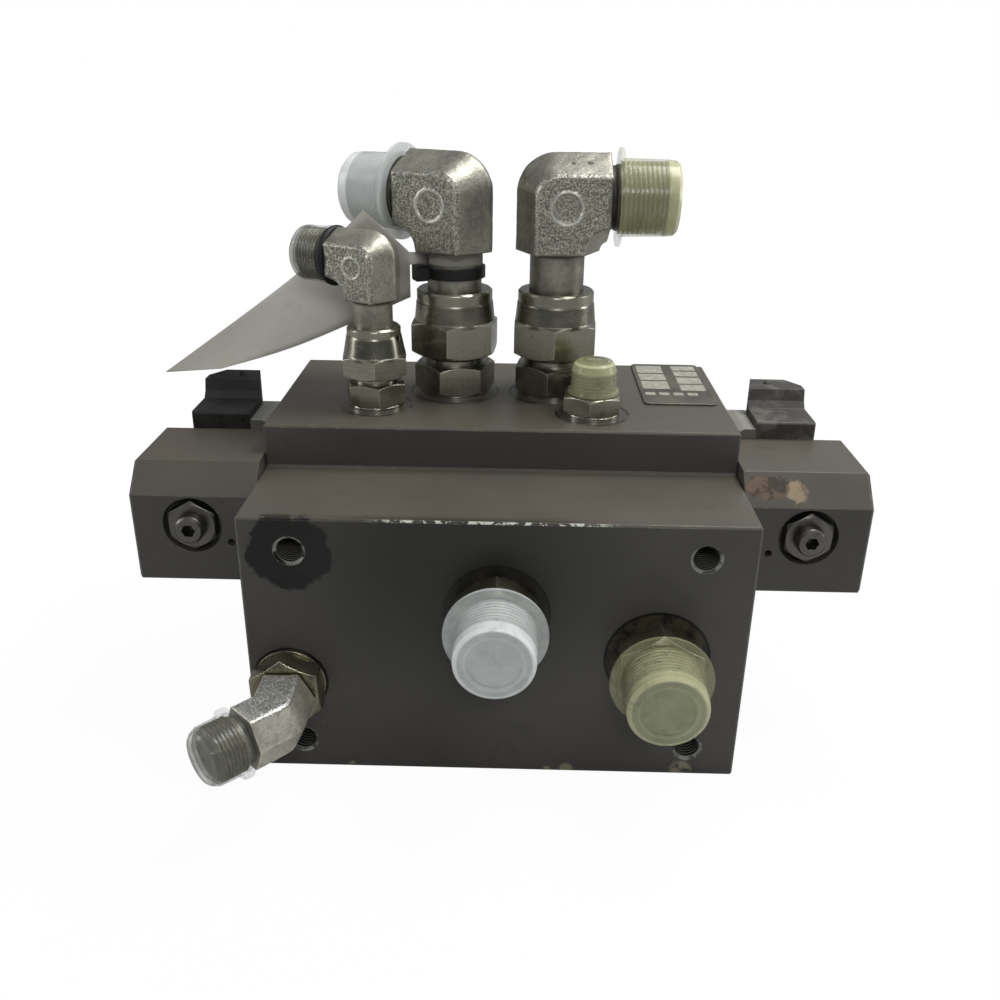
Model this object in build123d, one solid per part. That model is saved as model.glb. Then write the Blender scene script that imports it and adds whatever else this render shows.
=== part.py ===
"""Hydraulic valve block with swivel elbows, stud couplings and two pilot covers.

Millimetres. X runs along the spool, Y runs from the port face to the back and +Z is up.
Y places are measured from the port face; the parts are saved about the centre of the block's base.
Threads are plain cylinders at their nominal diameter.
"""

from build123d import *
import math
import os

os.makedirs("parts", exist_ok=True)

# Block
BLOCK_W = 200.0
BLOCK_D = 152.0
BLOCK_H = 134.0
LEDGE_D = 52.0
LEDGE_H = 115.5
BLOCK_EDGE = 0.8

# Spool and its bore, along X
SPOOL_Y = 55.7
SPOOL_Z = 97.0
SPOOL_R = 10.0
SPOOL_GROOVE_R = 6.5
SPOOL_FIT = 0.03
SPOOL_STICK_OUT = 8.0
SPOOL_TRAVEL = 6.0
GALLERY_R = 15.0
GALLERY_W = 9.0
GALLERY_X = (-56.0, -22.5, 0.0, 22.5, 56.0)

# Mounting holes on the port face
MOUNT_FROM_END = 20.0
MOUNT_Z = 88.0
MOUNT_CENTRE_Z = 57.7
MOUNT_CORE_R = 5.1
MOUNT_MOUTH_R = 6.2
MOUNT_DEPTH = 24.0

# Side covers
COVER_L = 52.0
COVER_Y0 = 30.7
COVER_D = 50.0
COVER_Z0 = 72.0
COVER_H = 49.6
COVER_CHAMFER = 11.5
COVER_EDGE = 1.0
CHAMBER_R = 12.8
CHAMBER_L = 42.0
VENT_R = 1.6
VENT_DEPTH = 5.0
VENT_FROM_BLOCK = 11.3
VENT_Z = 89.5

# Cover screws
COVER_SCREW_R = 3.0
COVER_SCREW_PITCH_Y = 30.0
COVER_SCREW_PITCH_Z = 27.0
COVER_SCREW_GRIP = 16.0
COVER_HEAD_R = 5.0
COVER_HEAD_H = 6.0
COVER_SCREW_SINK = 0.6
SOCKET_SHARE = 0.5

# Adjusting screws, along Y in the covers
ADJUST_FROM_BLOCK = 27.0
ADJUST_R = 6.0
ADJUST_STICK_OUT = 5.7
ADJUST_TIP_GAP = 0.9
ADJUST_TRAVEL = 2.0
ADJUST_SOCKET_AF = 5.0
ADJUST_SOCKET_DEPTH = 7.0
RECESS_R = 12.3
RECESS_DEPTH = 6.0
LOCK_AF = 19.0
LOCK_H = 6.6

# Centring springs and their seats
SPRING_R = 8.2
SPRING_WIRE_R = 1.3
SPRING_TURNS = 5.0
SEAT_R = 11.8
SEAT_T = 3.0

# Pilot solenoids behind the covers
PILOT_W = 39.3
PILOT_D = 42.0
PILOT_H = 43.0
PILOT_Z0 = 78.0
PILOT_ROUND = 4.0
PILOT_SHOULDER_W = 13.0
PILOT_SHOULDER_D = 27.0
PILOT_SHOULDER_H = 5.0
ARMATURE_R = 8.0
ARMATURE_L = 22.0
ARMATURE_TRAVEL = 2.5
ARMATURE_FIT = 0.05
CONNECTOR_W = 26.0
CONNECTOR_STEP_D = 22.0
CONNECTOR_D = 39.0
CONNECTOR_STEP_H = 8.5
CONNECTOR_H = 16.5
CONNECTOR_LEAN = 4.0
CONNECTOR_ROUND = 1.4
SOCKET_W = 15.0
SOCKET_D = 9.0
SOCKET_DEPTH = 11.0
PIN_W = 1.6
PIN_T = 0.8

# Screw heads, threads and fits
THREAD_GAP = 0.05
TURN_FIT = 0.06
SEAT_GAP = 0.02

# Places of the top fittings
MID_XY = (-22.5, 105.0)
RIGHT_XY = (22.8, 105.5)
SMALL_XY = (-56.0, 81.5)
TEST_XY = (39.2, 74.7)

# Places of the front fittings
FRONT_MID_XZ = (0.0, 76.1)
FRONT_RIGHT_XZ = (BLOCK_W / 2 - 35.8, 56.9)
FRONT_LEFT_XZ = (16.6 - BLOCK_W / 2, 42.9)

# Stud couplings: hexagon, collar, neck, male thread outside and in the port, bore, spotface
LARGE_STUD = dict(af=32.0, hex_h=13.0, collar_r=16.0, collar_h=1.7, neck_r=13.2, neck_h=2.6,
                  thread_r=15.0, thread_h=14.5, port_r=13.5, port_h=15.0, bore_r=9.0,
                  cone_r=11.6, spot_r=21.3)
SMALL_STUD = dict(af=24.0, hex_h=9.9, collar_r=12.3, collar_h=1.9, neck_r=9.6, neck_h=2.0,
                  thread_r=11.0, thread_h=11.5, port_r=9.0, port_h=12.0, bore_r=5.5,
                  cone_r=8.2, spot_r=15.8)
TEST_STUD = dict(af=24.0, hex_h=8.1, collar_r=12.3, collar_h=1.6, neck_r=7.8, neck_h=1.6,
                 thread_r=9.0, thread_h=8.0, port_r=9.0, port_h=12.0, bore_r=4.0,
                 cone_r=6.2, spot_r=15.8)

# Swivel nuts: hexagon, its height, the conical collar above it, and where it starts over the seat
LARGE_NUT = dict(af=36.0, z0=19.0, hex_h=15.3, cone_h=7.7, top_h=5.7, cone_r=18.0, top_r=16.9,
                 thread_h=14.0)
SMALL_NUT = dict(af=27.0, z0=14.6, hex_h=9.4, cone_h=7.8, top_h=4.2, cone_r=13.4, top_r=11.6,
                 thread_h=12.0)
WIRE_SLOT_W = 3.0

# Forged elbows: stub, body outline, outlet
LARGE_ELBOW = dict(stub_r=12.0, body_z=64.7, axis_z=87.3, body_r=18.7, flat_r=10.4, depth=16.5,
                   outer_round=17.0, inner_round=4.0, body_end=21.5, neck_r=13.2, neck_end=24.0,
                   thread_r=15.0, thread_end=45.0, bore_r=9.0, disc_r=6.6, disc_shift=3.0, rim_round=1.6)
SMALL_ELBOW = dict(stub_r=8.4, body_z=47.6, axis_z=63.7, body_r=12.4, flat_r=6.9, depth=11.0,
                   outer_round=11.6, inner_round=3.0, body_end=16.3, neck_r=9.6, neck_end=20.0,
                   thread_r=11.0, thread_end=32.0, bore_r=5.5, disc_r=4.3, disc_shift=2.4, rim_round=1.1)
DISC_DEPTH = 0.4
WIRE_R = 0.8
MID_OUTLET_DEG = 155.0
RIGHT_OUTLET_DEG = 0.0
SMALL_OUTLET_DEG = 153.0

# The 45 degree elbow on the port face
ANGLE_ELBOW = dict(washer_r=14.6, washer_h=1.6, nut_af=27.0, nut_h=10.0, stem_r=9.0, port_h=12.0,
                   body_z=12.4, bend_z=28.7, bend=45.0, body_r=12.4, flat_r=6.9, depth=11.0,
                   body_end=13.5, neck_r=9.6, neck_end=15.6, thread_r=11.0, thread_end=27.6,
                   bore_r=5.5, turn=1.5, rim_round=1.1)

# Plastic thread caps: flange, outside radius at the flange, at the knee and at the end
ELBOW_CAP = dict(flange_r=20.5, flange_t=1.5, foot_r=16.3, knee_r=15.8, end_r=15.4, length=25.5,
                 over=21.0, wall=1.1)
FRONT_CAP = dict(flange_r=20.2, flange_t=1.5, foot_r=16.3, knee_r=15.8, end_r=15.4, length=20.6,
                 over=16.4, wall=1.1)
TEST_CAP = dict(flange_r=11.1, flange_t=1.3, foot_r=9.9, knee_r=9.6, end_r=8.7, length=13.9,
                over=9.7, wall=0.7)
SMALL_CAP = dict(flange_r=12.3, flange_t=1.0, foot_r=11.9, knee_r=11.7, end_r=11.2, length=15.0,
                 over=12.2, wall=0.8)
ANGLE_CAP = dict(flange_r=14.0, flange_t=1.7, foot_r=12.0, knee_r=11.7, end_r=10.6, length=14.9,
                 over=11.4, wall=0.8)
CAP_FIT = 0.1
CAP_EDGE = 1.2
CAP_END_T = 1.5
CAP_DISH_SHARE = 0.64
CAP_DISH_DEPTH = 0.5

# Ring on the small elbow's outlet
RING_R = 1.5

# Nameplate
PLATE_W = 33.0
PLATE_L = 63.0
PLATE_T = 1.0
PLATE_ROUND = 2.5
PLATE_EDGE = 0.25
PLATE_FROM_END = 20.0
PLATE_FROM_BACK = 32.5

# Blanking plugs in the back
PLUG_R = 11.0
PLUG_L = 12.0
PLUG_HEAD_R = 14.0
PLUG_HEAD_T = 5.0
PLUG_SOCKET_AF = 10.0
PLUG_SOCKET_DEPTH = 6.5
PLUG_EDGE = 0.8

# Cable tie and tag on the middle elbow, from its axis on the block's top
TIE_RISE = 55.3
TIE_W = 4.6
TIE_T = 1.4
TIE_GAP = 0.3
TIE_HEAD = (5.4, 7.5, 6.5)
TIE_HEAD_SINK = 0.4
TIE_HEAD_ROUND = 1.0
TIE_HEAD_DEG = 205.0
TAG_T = 0.6
TAG_LOOP_R = 12.3
TAG_LOOP_RISE = (59.0, 64.2)
TAG_SECTIONS = (
    ((-11.7, -4.7, 61.6), (0.0, 0.0, 2.6)),
    ((-19.0, -7.7, 61.6), (0.0, 0.0, 2.7)),
    ((-29.3, -2.0, 62.0), (-9.2, -4.5, 19.5)),
    ((-76.1, 8.6, 39.0), (-0.7, 9.0, 13.6)),
    ((-136.7, 5.0, 4.6), (-8.2, 22.0, -6.7)),
)
TAG_ALONG = (-0.9, 0.25, -0.35)

# Shared details: cone and chamfer angles, thread edge, drill depths, seal section, wire groove
CONE_DEG = 12.0
HEX_CHAMFER_DEG = 30.0
HEX_INSET = 0.2
THREAD_EDGE = 0.9
PORT_RUN_OUT = 2.0
PORT_DRILL = 8.0
SEAL_H = 1.2
SEAL_INNER_LAND = 0.2
SEAL_OUTER_LAND = 0.9
CONE_SEAL_R = 0.45
CONE_SEAL_LIFT = 0.52
CONE_SEAL_OUT = 0.55
CONE_REACH = 0.7
SHOULDER_T = 1.0
WIRE_FROM_TOP = 0.4
WIRE_GAP = 0.15
WIRE_FLOOR_GAP = 0.2
NUT_MOUTH = 1.0
NUT_EDGE = 0.8
NUT_RIM = 0.3
NUT_UNDERLAP = 1.5
OUTLET_MOUTH_SHARE = 0.44
CAP_GAP = 1.0
SMALL_CAP_GAP = 0.3
ANGLE_CAP_GAP = 0.9
RING_GAP = 0.1
RING_STRETCH_GAP = 0.05

# Drillings inside the block
DRILL_STEP = 1.0
CROSS_DRILL_START = 15.0
SLANT_START = 6.0
SLANT_SHIFT = (0.7, 3.0, 2.0)
FRONT_DRILL_R = 8.0
ANGLE_DRILL_R = 5.0
FRONT_DRILL_STOP = (4.0, 8.0)
TAP_RUN_OUT = 2.0
PLUG_RUN_OUT = 1.0
SEAL_GROOVE_W = 3.0
SEAL_GROOVE_T = 1.6
COVER_SEAL_R = 0.78
SCREW_HOLE_GAP = 0.3
HEAD_HOLE_GAP = 0.4
SCREW_SOCKET_DEPTH = 3.0
ADJUST_TIP_TAPER = 3.0
ADJUST_EDGE = 1.0

# Spool lands and notches
GROOVE_SPANS = ((-51.0, -27.5), (-17.5, -5.0), (5.0, 17.5), (27.5, 51.0))
NOTCH_R = 1.8
SPOOL_EDGE = 0.8
SEAT_PILOT_L = 3.0
SEAT_PILOT_GAP = 0.4

# Pilot housing and connector details
ARMATURE_FRONT_WALL = 4.0
ARMATURE_BACK_WALL = 5.0
ARMATURE_GAP = 1.0
ARMATURE_EDGE = 0.5
ARMATURE_PIN_R = 2.5
ARMATURE_PIN_L = 3.0
SHOULDER_FLAT = 5.0
CONNECTOR_SLOPE = 1.5
CONNECTOR_STEP_RISE = 3.0
CONNECTOR_STEP_RUN = 2.5
CONNECTOR_CUT_X = 6.0
CONNECTOR_CUT_Y = 9.0
NUB_R = 1.6
NUB_SHARE = 0.4
NUB_FROM_BACK = 7.0
SOCKET_SHIFT = 0.5
SOCKET_FLOOR = 3.0
PIN_REACH = 7.5
PIN_PITCH = 6.4

# Turn of each hexagon about its axis
MID_HEX_DEG = 12.0
RIGHT_HEX_DEG = 20.0
SMALL_HEX_DEG = 43.5
TEST_HEX_DEG = 21.6
FRONT_HEX_DEG = 30.0
ANGLE_NUT_DEG = 35.0
MID_NUT_DEG = 24.0
RIGHT_NUT_DEG = 28.0
SMALL_NUT_DEG = -23.0


def save(shape, node):
    """Write one sub-part about the centre of the block's base."""
    export_step(Pos(0, -BLOCK_D / 2, 0) * shape, f"parts/{node}.step")


def cyl(radius, low, high):
    """Cylinder on the Z axis between two heights."""
    return Pos(0, 0, low) * Cylinder(radius, high - low, align=(Align.CENTER, Align.CENTER, Align.MIN))


def rod(radius, start, end):
    """Cylinder between two points."""
    a = Vector(*start)
    b = Vector(*end)
    return Plane(origin=a, z_dir=b - a) * cyl(radius, 0, (b - a).length)


def turned(points):
    """Solid turned about Z from radius and height pairs."""
    outline = make_face(Polyline(*[(r, 0, z) for r, z in points], close=True))
    return revolve(outline, Axis.Z)


def hexagon(af, low, high, chamfer_low=True, chamfer_high=True):
    """Hexagon prism with turned chamfers, one corner on +X."""
    corner = af / math.sqrt(3)
    drop = (corner - af / 2 + HEX_INSET) * math.tan(math.radians(HEX_CHAMFER_DEG))
    prism = Pos(0, 0, low) * extrude(RegularPolygon(corner, 6), high - low)
    low_r = af / 2 - HEX_INSET if chamfer_low else corner
    high_r = af / 2 - HEX_INSET if chamfer_high else corner
    envelope = turned([(0, low), (low_r, low), (corner, low + drop), (corner, high - drop),
                       (high_r, high), (0, high)])
    return prism & envelope


def box(x0, x1, y0, y1, z0, z1):
    """Box between two corners."""
    return Pos((x0 + x1) / 2, (y0 + y1) / 2, (z0 + z1) / 2) * Box(x1 - x0, y1 - y0, z1 - z0)


def top_place(xy, turn=0.0):
    """Frame of a fitting that stands on the top face."""
    return Pos(xy[0], xy[1], BLOCK_H) * Rot(0, 0, turn)


def front_place(xz, turn=0.0):
    """Frame of a fitting that points out of the port face."""
    return Pos(xz[0], 0, xz[1]) * Rot(90, 0, 0) * Rot(0, 0, turn)


def port_cut(stud):
    """Tapped port for one stud coupling, under its seat."""
    depth = stud["port_h"] + PORT_RUN_OUT
    return cyl(stud["port_r"] + THREAD_GAP, -depth, 0.5) + cyl(stud["bore_r"], -depth - PORT_DRILL, 0)


def stud_coupling(stud):
    """Straight coupling body: stud in the port, hexagon, male thread with a 24 degree cone."""
    hex_top = stud["collar_h"] + stud["hex_h"]
    neck_top = hex_top + stud["neck_h"]
    top = neck_top + stud["thread_h"]
    body = cyl(stud["port_r"], -stud["port_h"], 0) + cyl(stud["collar_r"], 0, stud["collar_h"])
    body += hexagon(stud["af"], stud["collar_h"], hex_top)
    body += cyl(stud["neck_r"], hex_top, neck_top)
    body += thread_blank(stud["thread_r"], neck_top, top)
    cone_h = (stud["cone_r"] - stud["bore_r"]) / math.tan(math.radians(CONE_DEG))
    body -= cyl(stud["bore_r"], -stud["port_h"], top)
    body -= turned([(0, top - cone_h), (stud["bore_r"], top - cone_h), (stud["cone_r"], top), (0, top)])
    body -= port_seal_groove(stud)
    return body


def thread_blank(radius, low, high):
    """Plain cylinder with both edges broken, at a thread's nominal diameter."""
    return turned([(0, low), (radius - THREAD_EDGE, low), (radius, low + THREAD_EDGE),
                   (radius, high - THREAD_EDGE), (radius - THREAD_EDGE, high), (0, high)])


def seal_radii(stud):
    """Inside and outside radius of the seal ring under a coupling's collar."""
    return stud["port_r"] + SEAL_INNER_LAND, stud["collar_r"] - SEAL_OUTER_LAND


def port_seal_groove(stud):
    """Groove for the seal ring in the collar's underside."""
    inner, outer = seal_radii(stud)
    return turned([(inner, 0), (outer, 0), (outer, SEAL_H), (inner, SEAL_H)])


def port_seal(stud):
    """Square-section seal ring that fills its groove."""
    inner, outer = seal_radii(stud)
    top = SEAL_H - SEAT_GAP
    return turned([(inner + SEAT_GAP, 0), (outer - SEAT_GAP, 0), (outer - SEAT_GAP, top),
                   (inner + SEAT_GAP, top)])


def stud_top(stud):
    """Height of a coupling's outer end over its seat."""
    return stud["collar_h"] + stud["hex_h"] + stud["neck_h"] + stud["thread_h"]


def wire_heights(nut):
    """Low and high side of the retaining wire's groove."""
    top = nut["z0"] + nut["hex_h"] + nut["cone_h"] + nut["top_h"]
    middle = top - nut["top_h"] - WIRE_FROM_TOP
    return middle - WIRE_R - WIRE_GAP, middle + WIRE_R + WIRE_GAP


def swivel_nut(nut, stud, elbow):
    """Union nut with a conical collar, a wire groove inside and the slot where the wire goes in."""
    z0 = nut["z0"]
    hex_top = z0 + nut["hex_h"]
    cone_top = hex_top + nut["cone_h"]
    top = cone_top + nut["top_h"]
    thread_top = z0 + nut["thread_h"]
    thread_r = stud["thread_r"] + THREAD_GAP
    neck_r = elbow["stub_r"] + TURN_FIT
    low, high = wire_heights(nut)
    body = hexagon(nut["af"], z0, hex_top)
    start = hex_top - NUT_UNDERLAP
    body += turned([(0, start), (nut["cone_r"] + NUT_RIM, start), (nut["cone_r"], hex_top),
                    (nut["top_r"] + NUT_RIM, cone_top), (nut["top_r"], cone_top + 2 * NUT_RIM),
                    (nut["top_r"], top - NUT_EDGE), (nut["top_r"] - NUT_EDGE, top), (0, top)])
    body -= cyl(neck_r, z0, top)
    shoulder = thread_top + thread_r - neck_r
    body -= turned([(0, z0), (thread_r + NUT_MOUTH, z0), (thread_r, z0 + NUT_MOUTH), (thread_r, thread_top),
                    (neck_r, shoulder), (0, shoulder)])
    body -= cyl(elbow["stub_r"] + WIRE_R + WIRE_FLOOR_GAP, low, high)
    body -= box(0, nut["cone_r"] + 1, -WIRE_SLOT_W / 2, WIRE_SLOT_W / 2, low, high)
    return body


def retaining_wire(nut, elbow):
    """Round wire that ties the nut to the elbow's stub."""
    low, high = wire_heights(nut)
    return Pos(0, 0, (low + high) / 2) * Torus(elbow["stub_r"], WIRE_R)


def forged_body(outline, depth, slope, rim_round):
    """Forging drawn both ways from its parting plane, with rounded rims on its two flats."""
    body = extrude(outline, amount=depth, taper=slope) + extrude(outline, amount=-depth, taper=slope)
    rims = body.edges().filter_by(lambda edge: abs(abs(edge.center().Y) - depth) < SEAT_GAP)
    body = fillet(rims, rim_round)
    parting = body.edges().filter_by(lambda edge: abs(edge.center().Y) < SEAT_GAP)
    return fillet(parting, rim_round)


def swivel_elbow(elbow, nut, stud):
    """Forged 90 degree elbow: the stub goes down, the outlet along +X."""
    r = elbow["body_r"]
    axis_z = elbow["axis_z"]
    over = 3 * r
    slope = math.degrees(math.atan((r - elbow["flat_r"]) / elbow["depth"]))
    upright = Pos(0, axis_z - over / 2 + r / 2) * Rectangle(2 * r, over + r)
    outlet = Pos(over / 2, axis_z) * Rectangle(over, 2 * r)
    flat = upright + outlet
    outer = flat.vertices().sort_by(lambda v: abs(v.X + r) + abs(v.Y - axis_z - r))[0]
    inner = flat.vertices().sort_by(lambda v: abs(v.X - r) + abs(v.Y - axis_z + r))[0]
    flat = fillet(outer, elbow["outer_round"])
    inner = flat.vertices().sort_by(lambda v: abs(v.X - r) + abs(v.Y - axis_z + r))[0]
    flat = fillet(inner, elbow["inner_round"])
    body = forged_body(Plane.XZ * flat, elbow["depth"], slope, elbow["rim_round"])
    body &= box(-over, elbow["body_end"], -over, over, elbow["body_z"], axis_z + over)
    body -= Pos(elbow["disc_shift"], -elbow["depth"] + DISC_DEPTH, axis_z - elbow["disc_shift"]) * Rot(
        90, 0, 0) * cyl(elbow["disc_r"], 0, 1)
    end_z = stud_top(stud)
    cone_h = (stud["cone_r"] - stud["bore_r"]) / math.tan(math.radians(CONE_DEG))
    tip = end_z - CONE_REACH * cone_h
    tip_r = stud["cone_r"] - CONE_REACH * (stud["cone_r"] - stud["bore_r"]) - SEAT_GAP
    mouth_r = stud["cone_r"] - SEAT_GAP
    shoulder = end_z + SHOULDER_T
    body += turned([(0, tip), (tip_r, tip), (mouth_r, end_z), (mouth_r, shoulder), (0, shoulder)])
    body += cyl(elbow["stub_r"], shoulder, elbow["body_z"])
    end = elbow["thread_end"]
    spigot = cyl(elbow["neck_r"], elbow["body_end"] - 1, elbow["neck_end"])
    spigot += thread_blank(elbow["thread_r"], elbow["neck_end"], end)
    body += Pos(0, 0, axis_z) * Rot(0, 90, 0) * spigot
    low, high = wire_heights(nut)
    body -= cyl(elbow["stub_r"] + 1, low, high) - cyl(elbow["stub_r"] - WIRE_R - WIRE_FLOOR_GAP, low, high)
    body -= cyl(elbow["bore_r"], tip - 1, axis_z)
    body -= Pos(0, 0, axis_z) * Sphere(elbow["bore_r"])
    body -= rod(elbow["bore_r"], (0, 0, axis_z), (end + 1, 0, axis_z))
    body -= Pos(0, 0, axis_z) * Rot(0, 90, 0) * outlet_cone(elbow)
    return body


def outlet_cone(elbow):
    """The 24 degree cone in an outlet's mouth."""
    end = elbow["thread_end"]
    mouth = elbow["bore_r"] / 2 + elbow["thread_r"] * OUTLET_MOUTH_SHARE
    depth = (mouth - elbow["bore_r"]) / math.tan(math.radians(CONE_DEG))
    return turned([(0, end - depth), (elbow["bore_r"], end - depth), (mouth, end), (0, end)])


def cone_seal(elbow, stud):
    """O-ring between the elbow's shoulder and the coupling's end face."""
    end_z = stud_top(stud)
    return Pos(0, 0, end_z + CONE_SEAL_LIFT) * Torus(stud["cone_r"] + CONE_SEAL_OUT, CONE_SEAL_R)


def thread_cap(cap, thread_r):
    """Push-on plastic cap: flange at the open end, thin tapered wall and a dished end."""
    inner = thread_r + CAP_FIT
    over = cap["over"]
    length = cap["length"]
    body = turned([(0, 0), (cap["flange_r"], 0), (cap["flange_r"], cap["flange_t"]),
                   (cap["foot_r"], cap["flange_t"]), (cap["knee_r"], over),
                   (cap["end_r"], length - CAP_EDGE), (cap["end_r"] - CAP_EDGE, length), (0, length)])
    floor_r = cap["end_r"] - CAP_EDGE - cap["wall"]
    floor = length - CAP_END_T
    body -= turned([(0, 0), (inner, 0), (inner, over), (floor_r, floor), (0, floor)])
    body -= cyl(cap["end_r"] * CAP_DISH_SHARE, length - CAP_DISH_DEPTH, length)
    return body


def angle_elbow(elbow):
    """Forged adjustable elbow: stem into the port, body bent, male thread outlet."""
    r = elbow["body_r"]
    over = 3 * r
    bend_z = elbow["bend_z"]
    slope = math.degrees(math.atan((r - elbow["flat_r"]) / elbow["depth"]))
    stem_leg = Pos(0, bend_z - over / 2) * Rectangle(2 * r, over)
    outlet_leg = Pos(0, bend_z) * Rot(0, 0, -elbow["bend"]) * Pos(0, over / 2) * Rectangle(2 * r, over)
    flat = stem_leg + Pos(0, bend_z) * Circle(r) + outlet_leg
    body = forged_body(Plane.XZ * flat, elbow["depth"], slope, elbow["rim_round"])
    body &= box(-over, over, -over, over, elbow["body_z"], bend_z + over)
    outlet = Pos(0, 0, bend_z) * Rot(0, elbow["bend"], 0)
    body -= outlet * box(-over, over, -over, over, elbow["body_end"], 3 * over)
    body += cyl(elbow["stem_r"], -elbow["port_h"], bend_z)
    end = elbow["thread_end"]
    body += outlet * cyl(elbow["neck_r"], 0, elbow["neck_end"])
    body += outlet * thread_blank(elbow["thread_r"], elbow["neck_end"], end)
    body -= cyl(elbow["bore_r"], -elbow["port_h"], bend_z)
    body -= Pos(0, 0, bend_z) * Sphere(elbow["bore_r"])
    body -= outlet * cyl(elbow["bore_r"], 0, end)
    body -= outlet * outlet_cone(elbow)
    return body


def valve_block():
    """Stepped body with the spool bore, its galleries, the ports and the mounting holes."""
    half = BLOCK_W / 2
    profile = Polyline((0, 0), (BLOCK_D, 0), (BLOCK_D, BLOCK_H), (LEDGE_D, BLOCK_H), (LEDGE_D, LEDGE_H),
                       (0, LEDGE_H), close=True)
    body = Pos(-half, 0, 0) * extrude(Plane.YZ * make_face(profile), BLOCK_W)
    body = chamfer(body.edges(), BLOCK_EDGE)
    body -= rod(SPOOL_R + SPOOL_FIT, (-half, SPOOL_Y, SPOOL_Z), (half, SPOOL_Y, SPOOL_Z))
    for x in GALLERY_X:
        low, high = x - GALLERY_W / 2, x + GALLERY_W / 2
        body -= rod(GALLERY_R, (low, SPOOL_Y, SPOOL_Z), (high, SPOOL_Y, SPOOL_Z))
    for sx in (-1, 1):
        for sz in (-1, 1):
            place = Pos(sx * (half - MOUNT_FROM_END), 0, MOUNT_CENTRE_Z + sz * MOUNT_Z / 2) * Rot(90, 0, 0)
            mouth = MOUNT_MOUTH_R - MOUNT_CORE_R
            body -= place * cyl(MOUNT_CORE_R, -MOUNT_DEPTH, 0)
            body -= place * turned([(0, -mouth), (MOUNT_CORE_R, -mouth), (MOUNT_MOUTH_R, 0), (0, 0)])
    for xy in (MID_XY, RIGHT_XY):
        body -= top_place(xy) * port_cut(LARGE_STUD)
    for xy, stud in ((SMALL_XY, SMALL_STUD), (TEST_XY, TEST_STUD)):
        body -= top_place(xy) * port_cut(stud)
    for xz in (FRONT_MID_XZ, FRONT_RIGHT_XZ):
        body -= front_place(xz) * port_cut(LARGE_STUD)
    angle = ANGLE_ELBOW
    angle_port = dict(port_r=angle["stem_r"], port_h=angle["port_h"], bore_r=angle["bore_r"])
    body -= front_place(FRONT_LEFT_XZ) * port_cut(angle_port)
    for x, y in (MID_XY, RIGHT_XY):
        bore = LARGE_STUD["bore_r"] - DRILL_STEP
        plug_floor = BLOCK_D - PLUG_L - PLUG_RUN_OUT
        body -= rod(bore, (x, y, BLOCK_H - CROSS_DRILL_START), (x, y, SPOOL_Z))
        body -= rod(bore, (x, BLOCK_D, SPOOL_Z), (x, SPOOL_Y, SPOOL_Z))
        body -= rod(PLUG_R + THREAD_GAP, (x, BLOCK_D, SPOOL_Z), (x, plug_floor, SPOOL_Z))
    dx, dy, dz = SLANT_SHIFT
    for (x, y), stud in ((SMALL_XY, SMALL_STUD), (TEST_XY, TEST_STUD)):
        start = BLOCK_H - stud["port_h"] - SLANT_START
        body -= rod(stud["bore_r"] - DRILL_STEP, (x, y, start), (x + dx, SPOOL_Y + dy, SPOOL_Z + dz))
    back, under = FRONT_DRILL_STOP
    for (x, z), bore in ((FRONT_MID_XZ, FRONT_DRILL_R), (FRONT_RIGHT_XZ, FRONT_DRILL_R),
                         (FRONT_LEFT_XZ, ANGLE_DRILL_R)):
        body -= rod(bore, (x, LARGE_STUD["port_h"], z), (x, SPOOL_Y - back, SPOOL_Z - under))
    for side in (-1, 1):
        for y, z in cover_screw_places():
            tail = side * (half - COVER_SCREW_GRIP - TAP_RUN_OUT)
            body -= rod(COVER_SCREW_R + THREAD_GAP, (side * half, y, z), (tail, y, z))
    return body


def cover_screw_places():
    """Y and Z of the four screws in a cover."""
    reach_y = COVER_SCREW_PITCH_Y / 2
    reach_z = COVER_SCREW_PITCH_Z / 2
    return [(SPOOL_Y + sy * reach_y, SPOOL_Z + sz * reach_z) for sy in (-1, 1) for sz in (-1, 1)]


def pilot_cover():
    """Cover on the block's right end, with the spring chamber and the adjusting screw's recess."""
    x0 = BLOCK_W / 2
    x1 = x0 + COVER_L
    y1 = COVER_Y0 + COVER_D
    z1 = COVER_Z0 + COVER_H
    profile = Polyline((COVER_Y0, COVER_Z0), (y1, COVER_Z0), (y1, z1), (COVER_Y0 + COVER_CHAMFER, z1),
                       (COVER_Y0, z1 - COVER_CHAMFER), close=True)
    body = Pos(x0, 0, 0) * extrude(Plane.YZ * make_face(profile), COVER_L)
    body = chamfer(body.faces().sort_by(Axis.X)[-1].edges(), COVER_EDGE)
    body -= rod(CHAMBER_R, (x0, SPOOL_Y, SPOOL_Z), (x0 + CHAMBER_L, SPOOL_Y, SPOOL_Z))
    body -= rod(CHAMBER_R + SEAL_GROOVE_W, (x0, SPOOL_Y, SPOOL_Z), (x0 + SEAL_GROOVE_T, SPOOL_Y, SPOOL_Z))
    for y, z in cover_screw_places():
        body -= rod(COVER_SCREW_R + SCREW_HOLE_GAP, (x0, y, z), (x1, y, z))
        body -= rod(COVER_HEAD_R + HEAD_HOLE_GAP, (x1 - COVER_HEAD_H - COVER_SCREW_SINK, y, z), (x1, y, z))
    x = x0 + ADJUST_FROM_BLOCK
    body -= rod(ADJUST_R + THREAD_GAP, (x, COVER_Y0, SPOOL_Z), (x, SPOOL_Y, SPOOL_Z))
    body -= rod(RECESS_R, (x, COVER_Y0, SPOOL_Z), (x, COVER_Y0 + RECESS_DEPTH, SPOOL_Z))
    vent = x0 + VENT_FROM_BLOCK
    body -= rod(VENT_R, (vent, COVER_Y0, VENT_Z), (vent, COVER_Y0 + VENT_DEPTH, VENT_Z))
    return body


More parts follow.
